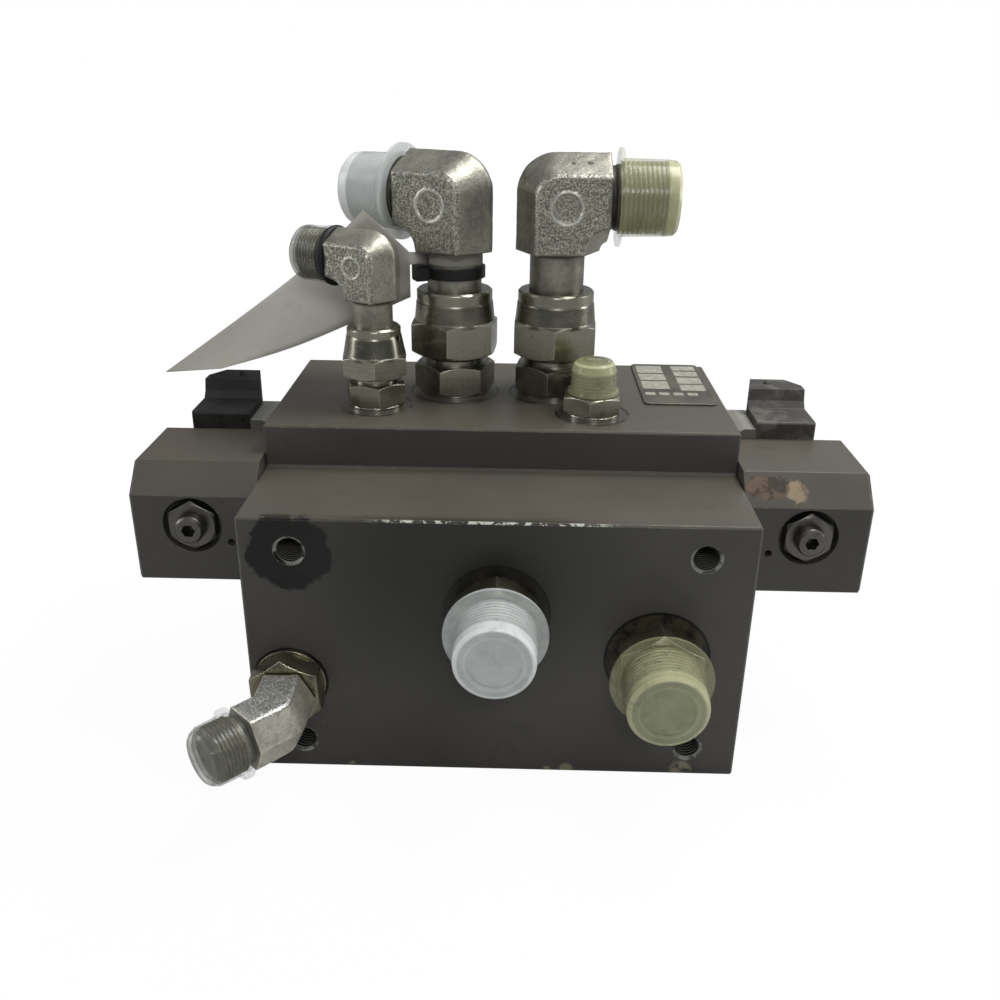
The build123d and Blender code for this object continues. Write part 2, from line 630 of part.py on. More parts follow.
def cover_seal():
    """O-ring round the chamber, in the cover's joint face."""
    x = BLOCK_W / 2 + SEAL_GROOVE_T / 2
    ring = Torus(CHAMBER_R + SEAL_GROOVE_T, COVER_SEAL_R)
    return Pos(x, SPOOL_Y, SPOOL_Z) * Rot(0, 90, 0) * ring


def cover_screws():
    """Four socket head screws through the right cover into the block."""
    head_x = BLOCK_W / 2 + COVER_L - COVER_SCREW_SINK
    screws = []
    for y, z in cover_screw_places():
        screw = rod(COVER_HEAD_R, (head_x - COVER_HEAD_H, y, z), (head_x, y, z))
        screw += rod(COVER_SCREW_R, (BLOCK_W / 2 - COVER_SCREW_GRIP, y, z), (head_x - COVER_HEAD_H, y, z))
        socket = extrude(RegularPolygon(COVER_HEAD_R * SOCKET_SHARE, 6), SCREW_SOCKET_DEPTH)
        screw -= Pos(head_x - SCREW_SOCKET_DEPTH, y, z) * Rot(0, 90, 0) * socket
        screws.append(screw)
    return Compound(children=screws)


def adjusting_screw():
    """Throttle screw with a hexagon socket outside and a cone at its tip."""
    x = BLOCK_W / 2 + ADJUST_FROM_BLOCK
    tip = SPOOL_Y - CHAMBER_R + ADJUST_TIP_GAP - COVER_Y0
    body = turned([(0, -tip), (ADJUST_R - ADJUST_TIP_TAPER, -tip), (ADJUST_R, ADJUST_TIP_TAPER - tip),
                   (ADJUST_R, ADJUST_STICK_OUT - ADJUST_EDGE), (ADJUST_R - ADJUST_EDGE, ADJUST_STICK_OUT),
                   (0, ADJUST_STICK_OUT)])
    socket = extrude(RegularPolygon(ADJUST_SOCKET_AF / math.sqrt(3), 6), ADJUST_SOCKET_DEPTH)
    body -= Pos(0, 0, ADJUST_STICK_OUT - ADJUST_SOCKET_DEPTH) * socket
    return Pos(x, COVER_Y0, SPOOL_Z) * Rot(90, 0, 0) * body


def lock_nut():
    """Hexagon lock nut in the cover's recess, corner up."""
    x = BLOCK_W / 2 + ADJUST_FROM_BLOCK
    body = hexagon(LOCK_AF, -RECESS_DEPTH, LOCK_H - RECESS_DEPTH, chamfer_low=False)
    body -= cyl(ADJUST_R + THREAD_GAP, -RECESS_DEPTH, LOCK_H - RECESS_DEPTH)
    return Pos(x, COVER_Y0, SPOOL_Z) * Rot(90, 0, 0) * Rot(0, 0, 30) * body


def spring_span():
    """X where the right spring starts and ends."""
    return BLOCK_W / 2 + SPOOL_STICK_OUT + SEAT_T, BLOCK_W / 2 + CHAMBER_L


def centring_spring():
    """Coil spring between the spool's seat and the end of the chamber."""
    start, end = spring_span()
    rise = end - start - 2 * SPRING_WIRE_R - 2 * SEAT_GAP
    path = Helix(pitch=rise / SPRING_TURNS, height=rise, radius=SPRING_R)
    wire = sweep(Plane(origin=path @ 0, z_dir=path % 0) * Circle(SPRING_WIRE_R), path=path)
    return Pos(start + SPRING_WIRE_R + SEAT_GAP, SPOOL_Y, SPOOL_Z) * Rot(0, 90, 0) * wire


def spring_seat():
    """Cupped washer on the spool's right end."""
    x = BLOCK_W / 2 + SPOOL_STICK_OUT
    seat = rod(SEAT_R, (x, SPOOL_Y, SPOOL_Z), (x + SEAT_T, SPOOL_Y, SPOOL_Z))
    pilot_r = SPRING_R - SPRING_WIRE_R - SEAT_PILOT_GAP
    seat += rod(pilot_r, (x, SPOOL_Y, SPOOL_Z), (x + SEAT_T + SEAT_PILOT_L, SPOOL_Y, SPOOL_Z))
    return seat


def main_spool():
    """Spool with lands between its metering grooves and a fine notch pair on each land."""
    half = BLOCK_W / 2 + SPOOL_STICK_OUT
    body = rod(SPOOL_R, (-half, SPOOL_Y, SPOOL_Z), (half, SPOOL_Y, SPOOL_Z))
    body = chamfer(body.edges(), SPOOL_EDGE)
    for low, high in GROOVE_SPANS:
        ring = rod(SPOOL_R + 1, (low, SPOOL_Y, SPOOL_Z), (high, SPOOL_Y, SPOOL_Z))
        body -= ring - rod(SPOOL_GROOVE_R, (low, SPOOL_Y, SPOOL_Z), (high, SPOOL_Y, SPOOL_Z))
        for x in (low, high):
            for sy in (-1, 1):
                body -= Pos(x, SPOOL_Y + sy * SPOOL_R, SPOOL_Z) * Sphere(NOTCH_R)
    return body


def pilot_span():
    """Near and far Y of the pilot housing."""
    y0 = COVER_Y0 + COVER_D
    return y0, y0 + PILOT_D


def pilot_housing():
    """Cast housing behind the right cover, with the armature's bore and a rounded shoulder."""
    x0 = BLOCK_W / 2
    y0, y1 = pilot_span()
    z1 = PILOT_Z0 + PILOT_H
    body = box(x0, x0 + PILOT_W, y0, y1, PILOT_Z0, z1)
    outer = body.edges().filter_by(Axis.Y).group_by(Axis.X)[-1]
    body = fillet(outer.sort_by(Axis.Z)[0], PILOT_ROUND)
    body = fillet(body.edges().filter_by(Axis.Z).group_by(Axis.Y)[-1].sort_by(Axis.X)[-1], PILOT_ROUND)
    x1 = x0 + PILOT_SHOULDER_W
    z2 = z1 + PILOT_SHOULDER_H
    top = Polyline((x0, z1 - 1), (x1, z1 - 1), (x1, z2), (x1 - SHOULDER_FLAT, z2), (x0, z1 + 1), close=True)
    body += Pos(0, y0 + PILOT_SHOULDER_D, 0) * extrude(Plane.XZ * make_face(top), PILOT_SHOULDER_D)
    x = x0 + ADJUST_FROM_BLOCK
    bore_y = y0 + ARMATURE_FRONT_WALL
    body -= rod(ARMATURE_R + ARMATURE_FIT, (x, bore_y, SPOOL_Z), (x, y1 - ARMATURE_BACK_WALL, SPOOL_Z))
    return body


def armature():
    """Solenoid armature in the pilot housing."""
    x = BLOCK_W / 2 + ADJUST_FROM_BLOCK
    y0 = pilot_span()[0] + ARMATURE_FRONT_WALL + ARMATURE_GAP
    body = rod(ARMATURE_R, (x, y0 + ARMATURE_PIN_L, SPOOL_Z), (x, y0 + ARMATURE_L, SPOOL_Z))
    body = chamfer(body.edges(), ARMATURE_EDGE)
    return body + rod(ARMATURE_PIN_R, (x, y0, SPOOL_Z), (x, y0 + ARMATURE_PIN_L + 1, SPOOL_Z))


def connector_corner():
    """X, Y and Z of the connector's low corner next to the block."""
    return BLOCK_W / 2 + PILOT_SHOULDER_W, COVER_Y0 + COVER_D, PILOT_Z0 + PILOT_H


def connector_housing():
    """Stepped plastic housing on the pilot, open at the back for the plug."""
    x0, y0, z0 = connector_corner()
    back = y0 + CONNECTOR_D
    step_y = y0 + CONNECTOR_STEP_D
    step_z = z0 + CONNECTOR_STEP_H
    top = z0 + CONNECTOR_H
    slope_y = step_y + CONNECTOR_SLOPE
    low_y = step_y - CONNECTOR_STEP_RUN
    side = Polyline((y0, z0), (back, z0), (back, top), (slope_y, top), (step_y, step_z + CONNECTOR_STEP_RISE),
                    (low_y, step_z), (y0, step_z), close=True)
    body = Pos(x0, 0, 0) * extrude(Plane.YZ * make_face(side), CONNECTOR_W)
    x1 = x0 + CONNECTOR_W
    lean = Polyline((x0, y0), (x0, step_y), (x0 + CONNECTOR_LEAN, back), (x1 - CONNECTOR_CUT_X, back),
                    (x1, back - CONNECTOR_CUT_Y), (x1, y0), close=True)
    body &= Pos(0, 0, z0) * extrude(make_face(lean), CONNECTOR_H)
    front_top = body.edges().filter_by(Axis.X).group_by(Axis.Y)[0].sort_by(Axis.Z)[-1]
    body = fillet(front_top, CONNECTOR_ROUND)
    body += Pos(x0 + CONNECTOR_W * NUB_SHARE, back - NUB_FROM_BACK, top) * Sphere(NUB_R)
    low_x = x0 + CONNECTOR_W / 2 - SOCKET_SHIFT - SOCKET_W / 2
    low_z = z0 + SOCKET_FLOOR
    return body - box(low_x, low_x + SOCKET_W, back - SOCKET_DEPTH, back, low_z, low_z + SOCKET_D)


def connector_pins():
    """Two flat contacts in the connector's socket."""
    x0, y0, z0 = connector_corner()
    mid_x = x0 + CONNECTOR_W / 2 - SOCKET_SHIFT
    mid_z = z0 + SOCKET_FLOOR + SOCKET_D / 2
    floor_y = y0 + CONNECTOR_D - SOCKET_DEPTH
    pins = []
    for pin_x in (mid_x - PIN_PITCH / 2, mid_x + PIN_PITCH / 2):
        pins.append(box(pin_x - PIN_W / 2, pin_x + PIN_W / 2, floor_y, floor_y + PIN_REACH,
                        mid_z - PIN_T / 2, mid_z + PIN_T / 2))
    return Compound(children=pins)


def blanking_plugs():
    """Socket head plugs that close the two long drillings in the back."""
    plugs = []
    for x, _ in (MID_XY, RIGHT_XY):
        plug = cyl(PLUG_R, -PLUG_L, 0) + cyl(PLUG_HEAD_R, 0, PLUG_HEAD_T)
        plug = chamfer(plug.edges().group_by(Axis.Z)[-1], PLUG_EDGE)
        socket = extrude(RegularPolygon(PLUG_SOCKET_AF / math.sqrt(3), 6), PLUG_SOCKET_DEPTH)
        plug -= Pos(0, 0, PLUG_HEAD_T - PLUG_SOCKET_DEPTH) * socket
        plugs.append(Pos(x, BLOCK_D, SPOOL_Z) * Rot(-90, 0, 0) * plug)
    return Compound(children=plugs)


def nameplate():
    """Thin plate with rounded corners."""
    flat = RectangleRounded(PLATE_W, PLATE_L, PLATE_ROUND)
    body = extrude(flat, PLATE_T)
    body = chamfer(body.edges().group_by(Axis.Z)[-1], PLATE_EDGE)
    return Pos(BLOCK_W / 2 - PLATE_FROM_END, BLOCK_D - PLATE_FROM_BACK, BLOCK_H) * body


def cable_tie():
    """Strap round the middle elbow's stub, with its head."""
    inner = LARGE_ELBOW["stub_r"] + TIE_GAP
    outer = inner + TIE_T
    strap = cyl(outer, -TIE_W / 2, TIE_W / 2) - cyl(inner, -TIE_W / 2, TIE_W / 2)
    depth, width, height = TIE_HEAD
    head = Pos(outer + depth / 2 - TIE_HEAD_SINK, 0, 0) * Box(depth, width, height)
    head = fillet(head.edges().filter_by(Axis.X), TIE_HEAD_ROUND)
    return top_place(MID_XY, TIE_HEAD_DEG) * Pos(0, 0, TIE_RISE) * (strap + head)


def tag_section(centre, reach):
    """Thin rectangle across the tag: its centre, and the way to its upper edge."""
    c = Vector(*centre)
    up = Vector(*reach)
    along = Vector(*TAG_ALONG)
    normal = along.cross(up).normalized() * (TAG_T / 2)
    corners = [c + up + normal, c + up - normal, c - up - normal, c - up + normal]
    return make_face(Polyline(*corners, close=True))


def paper_tag():
    """Twisted tag, thin all over."""
    pieces = [loft([tag_section(*a), tag_section(*b)], ruled=True)
              for a, b in zip(TAG_SECTIONS, TAG_SECTIONS[1:])]
    low, high = TAG_LOOP_RISE
    body = cyl(TAG_LOOP_R + TAG_T, low, high) - cyl(TAG_LOOP_R, low, high)
    for piece in pieces:
        body += piece
    return top_place(MID_XY) * body


def outlet_place(xy, turn, elbow):
    """Frame whose Z runs out of a swivel elbow's outlet."""
    return top_place(xy, turn) * Pos(0, 0, elbow["axis_z"]) * Rot(0, 90, 0)


def angle_place():
    """Frame of the 45 degree elbow, bent towards -X."""
    return front_place(FRONT_LEFT_XZ, 180 + ANGLE_ELBOW["turn"])


save(valve_block(), "valve_block")
save(main_spool(), "main_spool")
for maker in (pilot_cover, cover_seal, cover_screws, adjusting_screw, lock_nut, centring_spring,
              spring_seat, pilot_housing, armature, connector_housing, connector_pins):
    shape = maker()
    save(shape, f"{maker.__name__}_right")
    save(mirror(shape, Plane.YZ), f"{maker.__name__}_left")

save(top_place(MID_XY, MID_HEX_DEG) * stud_coupling(LARGE_STUD), "mid_coupling")
save(top_place(RIGHT_XY, RIGHT_HEX_DEG) * stud_coupling(LARGE_STUD), "right_coupling")
save(top_place(SMALL_XY, SMALL_HEX_DEG) * stud_coupling(SMALL_STUD), "small_coupling")
save(top_place(TEST_XY, TEST_HEX_DEG) * stud_coupling(TEST_STUD), "test_coupling")
save(front_place(FRONT_MID_XZ, FRONT_HEX_DEG) * stud_coupling(LARGE_STUD), "front_mid_coupling")
save(front_place(FRONT_RIGHT_XZ, FRONT_HEX_DEG) * stud_coupling(LARGE_STUD), "front_right_coupling")

seals = []
for place, stud in ((top_place(MID_XY), LARGE_STUD), (top_place(RIGHT_XY), LARGE_STUD),
                    (top_place(SMALL_XY), SMALL_STUD), (top_place(TEST_XY), TEST_STUD),
                    (front_place(FRONT_MID_XZ), LARGE_STUD), (front_place(FRONT_RIGHT_XZ), LARGE_STUD)):
    seals.append(place * port_seal(stud))
save(Compound(children=seals), "port_seals")

for node, xy, outlet_deg, nut_deg, elbow, nut, stud in (
        ("mid", MID_XY, MID_OUTLET_DEG, MID_NUT_DEG, LARGE_ELBOW, LARGE_NUT, LARGE_STUD),
        ("right", RIGHT_XY, RIGHT_OUTLET_DEG, RIGHT_NUT_DEG, LARGE_ELBOW, LARGE_NUT, LARGE_STUD),
        ("small", SMALL_XY, SMALL_OUTLET_DEG, SMALL_NUT_DEG, SMALL_ELBOW, SMALL_NUT, SMALL_STUD)):
    save(top_place(xy, nut_deg) * swivel_nut(nut, stud, elbow), f"{node}_swivel_nut")
    save(top_place(xy, nut_deg) * retaining_wire(nut, elbow), f"{node}_retaining_wire")
    save(top_place(xy, outlet_deg) * swivel_elbow(elbow, nut, stud), f"{node}_elbow")
    save(top_place(xy, outlet_deg) * cone_seal(elbow, stud), f"{node}_cone_seal")

elbow_cap = Pos(0, 0, LARGE_ELBOW["neck_end"] + CAP_GAP) * thread_cap(ELBOW_CAP, LARGE_ELBOW["thread_r"])
save(outlet_place(MID_XY, MID_OUTLET_DEG, LARGE_ELBOW) * elbow_cap, "mid_outlet_cap")
save(outlet_place(RIGHT_XY, RIGHT_OUTLET_DEG, LARGE_ELBOW) * elbow_cap, "right_outlet_cap")

front_foot = LARGE_STUD["collar_h"] + LARGE_STUD["hex_h"] + CAP_GAP
front_cap = Pos(0, 0, front_foot) * thread_cap(FRONT_CAP, LARGE_STUD["thread_r"])
save(front_place(FRONT_MID_XZ) * front_cap, "front_mid_cap")
save(front_place(FRONT_RIGHT_XZ) * front_cap, "front_right_cap")

test_foot = TEST_STUD["collar_h"] + TEST_STUD["hex_h"] + SMALL_CAP_GAP
test_cap = Pos(0, 0, test_foot) * thread_cap(TEST_CAP, TEST_STUD["thread_r"])
save(top_place(TEST_XY) * test_cap, "test_port_cap")

small_outlet = outlet_place(SMALL_XY, SMALL_OUTLET_DEG, SMALL_ELBOW)
small_foot = SMALL_ELBOW["neck_end"] + SMALL_CAP_GAP
small_cap = Pos(0, 0, small_foot) * thread_cap(SMALL_CAP, SMALL_ELBOW["thread_r"])
save(small_outlet * small_cap, "small_outlet_cap")
ring_rise = SMALL_ELBOW["body_end"] + RING_R + RING_GAP
ring = Torus(SMALL_ELBOW["neck_r"] + RING_R + RING_STRETCH_GAP, RING_R)
save(small_outlet * Pos(0, 0, ring_rise) * ring, "small_outlet_ring")

save(angle_place() * angle_elbow(ANGLE_ELBOW), "angle_elbow")
washer_top = ANGLE_ELBOW["washer_h"]
nut_top = washer_top + ANGLE_ELBOW["nut_h"]
stem_hole = cyl(ANGLE_ELBOW["stem_r"] + THREAD_GAP, 0, nut_top)
angle_nut = hexagon(ANGLE_ELBOW["nut_af"], washer_top, nut_top) - stem_hole
save(front_place(FRONT_LEFT_XZ, ANGLE_NUT_DEG) * angle_nut, "angle_lock_nut")
washer = cyl(ANGLE_ELBOW["washer_r"], 0, washer_top) - stem_hole
save(front_place(FRONT_LEFT_XZ) * washer, "angle_washer")
angle_outlet = angle_place() * Pos(0, 0, ANGLE_ELBOW["bend_z"]) * Rot(0, ANGLE_ELBOW["bend"], 0)
angle_foot = ANGLE_ELBOW["neck_end"] + ANGLE_CAP_GAP
angle_cap = Pos(0, 0, angle_foot) * thread_cap(ANGLE_CAP, ANGLE_ELBOW["thread_r"])
save(angle_outlet * angle_cap, "angle_outlet_cap")

save(blanking_plugs(), "blanking_plugs")
save(nameplate(), "nameplate")
save(cable_tie(), "cable_tie")
save(paper_tag(), "paper_tag")
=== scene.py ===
"""Looks of the hydraulic valve block: worn paint, forged fittings, translucent caps and a paper tag."""

import math

import bmesh
import bpy
import numpy as np
from mathutils import Matrix, Vector, noise


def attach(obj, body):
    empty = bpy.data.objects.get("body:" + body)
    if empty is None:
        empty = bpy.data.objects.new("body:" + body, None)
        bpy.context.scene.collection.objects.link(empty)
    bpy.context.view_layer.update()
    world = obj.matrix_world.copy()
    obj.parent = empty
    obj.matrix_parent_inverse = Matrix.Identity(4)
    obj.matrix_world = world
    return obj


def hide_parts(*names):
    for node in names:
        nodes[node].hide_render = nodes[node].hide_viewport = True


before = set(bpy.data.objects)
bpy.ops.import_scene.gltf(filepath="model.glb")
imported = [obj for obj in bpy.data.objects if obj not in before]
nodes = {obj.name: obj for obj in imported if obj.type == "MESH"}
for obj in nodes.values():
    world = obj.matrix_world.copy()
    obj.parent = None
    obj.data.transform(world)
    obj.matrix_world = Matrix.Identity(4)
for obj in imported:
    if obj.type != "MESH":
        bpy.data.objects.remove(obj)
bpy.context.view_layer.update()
scene = bpy.context.scene
MM = 0.001

# Places in millimetres, as in the CAD: origin at the centre of the block's base
PORT_FACE_Y = -76.0
LEDGE_BACK_Y = -24.0
TOP_Z = 134.0
LEDGE_Z = 115.5
MID = (-22.5, 29.0)
RIGHT = (22.8, 29.5)
SMALL = (-56.0, 5.5)
TEST = (39.2, -1.3)
FRONT_MID = (0.0, 76.1)
FRONT_RIGHT = (64.2, 56.9)
FRONT_LEFT = (-83.4, 42.9)
MOUNT_HOLES = [(x, z) for x in (-80.0, 80.0) for z in (13.7, 101.7)]
LARGE_AXIS_Z = 221.3
SMALL_AXIS_Z = 197.7
MID_TURN = 155.0
SMALL_TURN = 153.0


def tone(red, green, blue):
    """Display colour 0 to 255 as a linear colour."""
    parts = [c / 255 for c in (red, green, blue)]
    return tuple(c / 12.92 if c < 0.04 else ((c + 0.055) / 1.055) ** 2.4 for c in parts) + (1.0,)


class Shade:
    """Builds one node material."""

    def __init__(self, name, owner=None):
        self.mat = owner or bpy.data.materials.new(name)
        self.mat.use_nodes = True
        self.tree = self.mat.node_tree
        self.tree.nodes.clear()
        coords = self.add("ShaderNodeTexCoord")
        self.co = coords.outputs["Object"]
        self.up = self.split(coords.outputs["Normal"])[2]

    def add(self, kind, ins=None, **props):
        node = self.tree.nodes.new(kind)
        for key, value in props.items():
            setattr(node, key, value)
        for key, value in (ins or {}).items():
            self.put(node.inputs[key], value)
        return node

    def put(self, socket, value):
        if isinstance(value, bpy.types.NodeSocket):
            self.tree.links.new(value, socket)
        else:
            socket.default_value = value

    def math(self, op, a, b=0.0, clamp=False):
        return self.add("ShaderNodeMath", {0: a, 1: b}, operation=op, use_clamp=clamp).outputs[0]

    def mul(self, *values):
        out = values[0]
        for value in values[1:]:
            out = self.math("MULTIPLY", out, value)
        return out

    def vec(self, op, a, b):
        return self.add("ShaderNodeVectorMath", {0: a, 1: b}, operation=op)

    def split(self, vector):
        return self.add("ShaderNodeSeparateXYZ", {0: vector}).outputs

    def mix(self, fac, a, b):
        return self.add("ShaderNodeMix", {0: fac, 6: a, 7: b}, data_type="RGBA").outputs[2]

    def step(self, x, low, high, out_low=0.0, out_high=1.0):
        ins = {"Value": x, "From Min": low, "From Max": high, "To Min": out_low, "To Max": out_high}
        return self.add("ShaderNodeMapRange", ins, interpolation_type="SMOOTHSTEP").outputs["Result"]

    def noise(self, scale, detail=3.0, rough=0.55, stretch=None, warp=0.0):
        where = self.co if stretch is None else self.vec("MULTIPLY", self.co, stretch).outputs[0]
        ins = {"Vector": where, "Scale": scale, "Detail": detail, "Roughness": rough, "Distortion": warp}
        return self.add("ShaderNodeTexNoise", ins).outputs["Fac"]

    def cells(self, scale):
        return self.add("ShaderNodeTexVoronoi", {"Vector": self.co, "Scale": scale}).outputs["Distance"]

    def off_line(self, point, direction):
        """Distance in metres from a line, and the place along it."""
        rel = self.vec("SUBTRACT", self.co, Vector(point) * MM).outputs[0]
        along = self.vec("DOT_PRODUCT", rel, Vector(direction).normalized()).outputs["Value"]
        back = self.add("ShaderNodeVectorMath", {0: Vector(direction).normalized(), "Scale": along},
                        operation="SCALE").outputs[0]
        gap = self.vec("SUBTRACT", rel, back).outputs[0]
        return self.add("ShaderNodeVectorMath", {0: gap}, operation="LENGTH").outputs["Value"], along

    def near(self, point, radii):
        """Distance from a point, as a share of the radii."""
        rel = self.vec("SUBTRACT", self.co, Vector(point) * MM).outputs[0]
        rel = self.vec("DIVIDE", rel, Vector(radii) * MM).outputs[0]
        return self.add("ShaderNodeVectorMath", {0: rel}, operation="LENGTH").outputs["Value"]

    def edge(self, radius):
        """Mask that is 1 on sharp edges, and the rounded normal."""
        soft = self.add("ShaderNodeBevel", {"Radius": radius * MM}, samples=4).outputs[0]
        flat = self.add("ShaderNodeNewGeometry").outputs["Normal"]
        dot = self.vec("DOT_PRODUCT", soft, flat).outputs["Value"]
        return self.step(dot, 0.99, 0.86), soft

    def bump(self, height, strength, distance, normal=None):
        ins = {"Height": height, "Strength": strength, "Distance": distance * MM}
        if normal is not None:
            ins["Normal"] = normal
        return self.add("ShaderNodeBump", ins).outputs[0]

    def finish(self, color, rough, normal=None, metallic=0.0, **more):
        ins = {"Base Color": color, "Roughness": rough, "Metallic": metallic}
        if normal is not None:
            ins["Normal"] = normal
        ins.update(more)
        out = self.add("ShaderNodeBsdfPrincipled", ins)
        end = self.add("ShaderNodeOutputMaterial", {"Surface": out.outputs[0]})
        end.is_active_output = True
        return self.mat


def any_of(shade, masks):
    """Highest of several masks."""
    out = masks[0]
    for mask in masks[1:]:
        out = shade.math("MAXIMUM", out, mask)
    return out


def paint(name, body, dusty, chip, wear=1.0, stains=None):
    """Satin paint: a dust film on top, faint smudges and pale chips on the edges."""
    s = Shade(name)
    broad = s.noise(9, 3, 0.5)
    cloud = s.noise(24, 4, 0.55)
    fine = s.noise(1300, 2)
    color = s.mix(s.step(broad, 0.35, 0.65), body, shaded(body, 1.25))
    top = s.step(s.up, 0.3, 0.9)
    color = s.mix(s.mul(top, s.step(cloud, 0.25, 0.65, 0.62, 1.0)), color, dusty)
    smudge = s.step(s.noise(48, 5, 0.65, warp=0.4), 0.58, 0.78)
    color = s.mix(s.mul(smudge, 0.35), color, shaded(body, 0.5))
    specks = s.mul(s.step(s.cells(120), 0.045, 0.025), s.step(s.noise(22, 2), 0.55, 0.65))
    color = s.mix(s.mul(specks, 0.7), color, chip)
    rough = s.math("ADD", s.step(cloud, 0.3, 0.7, 0.28, 0.42), s.mul(fine, 0.06))
    if stains is not None:
        color, rough = stains(s, color, rough)
    rim, soft = s.edge(0.7)
    worn = s.mul(rim, s.step(s.noise(170, 4, 0.7), 0.56, 0.62), wear)
    color = s.mix(s.mul(rim, 0.34), color, chip)
    color = s.mix(worn, color, chip)
    normal = s.bump(s.math("ADD", fine, s.mul(worn, -1.5)), 0.12, 0.04, soft)
    return s.finish(color, rough, normal, s.mul(worn, 0.2), **{"Specular IOR Level": 0.36})


def ring_mask(s, point, line, low, high):
    """Mask of a ring of given radii about a line, on the face it meets."""
    away = s.off_line(point, line)[0]
    facing = s.step(s.up, 0.5, 0.9)
    if line[1]:
        facing = s.mul(s.step(s.up, 0.5, 0.1), s.step(s.split(s.co)[1], -0.0745, -0.0755))
    band = s.mul(s.step(away, (high + 0.25) * MM, (high - 0.25) * MM),
                 s.step(away, (low - 0.25) * MM, (low + 0.25) * MM))
    return s.mul(facing, band)


def block_stains(s, color, rough):
    """Scuffed rings round the ports with painted shade inside those on top, oil round one mounting hole, painted
    threads in the mounting holes, bare rims, a patch of painted shade on the front, and chips on the front edge.
    """
    black = tone(9, 8, 7)
    rust = s.mix(s.step(s.noise(160, 4, 0.6, warp=1.0), 0.42, 0.62), black, tone(66, 58, 40))
    for x, z in (FRONT_MID, FRONT_RIGHT):
        dirty = ring_mask(s, (x, 0, z), (0, 1, 0), -5, 20.6)
        color = s.mix(s.mul(dirty, 0.85), color, rust)
        color = s.mix(ring_mask(s, (x, 0, z), (0, 1, 0), 20.2, 21.3), color, black)
    color = s.mix(ring_mask(s, (FRONT_LEFT[0], 0, FRONT_LEFT[1]), (0, 1, 0), 13.5, 15.4), color, black)
    broken = s.step(s.noise(75, 3, 0.6), 0.42, 0.5)
    for xy, low, high in ((MID, 19.4, 20.6), (RIGHT, 19.4, 20.6), (SMALL, 15.1, 16.3), (TEST, 15.1, 16.3)):
        color = s.mix(s.mul(ring_mask(s, (*xy, 0), (0, 0, 1), low, high), broken, 0.85), color, black)
        shade = s.mul(ring_mask(s, (*xy, 0), (0, 0, 1), -5, low), 0.3)
        color = s.mix(shade, color, tone(40, 38, 34))
    front = s.step(s.split(s.co)[1], -0.070, -0.0755)
    oil_away = s.off_line((-80, 0, 101.2), (0, 1, 0))[0]
    ragged = s.math("ADD", oil_away, s.mul(s.math("SUBTRACT", s.noise(110, 4, 0.65), 0.5), 0.010))
    oil = s.mul(front, s.step(ragged, 0.0172, 0.0155))
    color = s.mix(s.mul(oil, 0.96), color, s.mix(s.step(s.noise(200, 4), 0.5, 0.7), tone(5, 5, 4), tone(14, 13, 11)))
    rough = s.math("SUBTRACT", rough, s.mul(oil, 0.06))
    # painted shade: a soft darker patch on the upper middle of the front face, standing for a darker reflection there
    front_shade_away = s.off_line((-14, 0, 98), (0, 1, 0))[0]
    dark = s.mul(front, s.step(front_shade_away, 0.085, 0.015))
    color = s.mix(s.mul(dark, 0.75), color, shaded(PAINT, 0.25))
    for x, z in MOUNT_HOLES:
        away, along = s.off_line((x, 0, z), (0, 1, 0))
        mouth = s.mul(s.step(away, 0.0064, 0.0061), s.step(away, 0.0050, 0.0052), front)
        bare = s.step(s.noise(260, 3, 0.6), 0.42, 0.56)
        color = s.mix(s.mul(mouth, bare, 0.75), color, tone(176, 175, 168))
        # painted thread in each hole: its black stripes are painted shade in the roots, its pale stripes the bare
        # crests
        bore = s.step(away, 0.0053, 0.0051)
        turn = s.math("SINE", s.mul(along, 2 * math.pi / 0.00175))
        thread = s.mix(s.step(turn, 0.0, 0.6), tone(16, 16, 15), tone(150, 148, 140))
        color = s.mix(bore, color, thread)
    edge_away, edge_along = s.off_line((-2, -76, 115.5), (1, 0, 0))
    chips = s.mul(s.step(edge_away, 0.0011, 0.0006), s.step(s.math("ABSOLUTE", edge_along), 0.05, 0.034))
    chips = s.mul(chips, s.step(s.noise(210, 4, 0.75), 0.48, 0.53))
    color = s.mix(chips, color, tone(205, 210, 196))
    for x, z, size in ((30, 1.5, 0.0035), (78, 2.5, 0.0055), (22, 1.0, 0.002), (-60, 1.2, 0.002)):
        near = s.off_line((x, 0, z), (0, 1, 0))[0]
        chip = s.mul(front, s.step(near, size, size * 0.6), s.step(s.noise(240, 3, 0.7), 0.46, 0.53))
        color = s.mix(s.mul(chip, 0.85), color, tone(150, 144, 122))
    return color, rough


def cover_stains(s, color, rough):
    """Brown rubbed patch along the right cover's chamfer, tan at its outer end."""
    frayed = s.mul(s.math("SUBTRACT", s.noise(150, 4, 0.65), 0.5), 1.6)
    brown = s.step(s.math("ADD", s.near((110.0, -41.0, 117.0), (12.5, 12.0, 3.6)), frayed), 1.05, 0.85)
    tan = s.step(s.math("ADD", s.near((121.5, -42.0, 116.6), (5.0, 9.0, 4.6)), frayed), 1.05, 0.85)
    upper = s.step(s.split(s.co)[2], 0.1100, 0.1110)
    rubbed = s.step(s.noise(130, 3, 0.6), 0.46, 0.6)
    color = s.mix(s.mul(brown, upper, 0.85), color, s.mix(rubbed, tone(66, 54, 46), tone(112, 92, 78)))
    return s.mix(s.mul(tan, upper, 0.85), color, s.mix(rubbed, tone(112, 98, 78), tone(158, 142, 116))), rough


def shaded(color, factor):
    """Lighter or darker colour."""
    return tuple(min(1.0, c * factor) for c in color[:3]) + (1.0,)


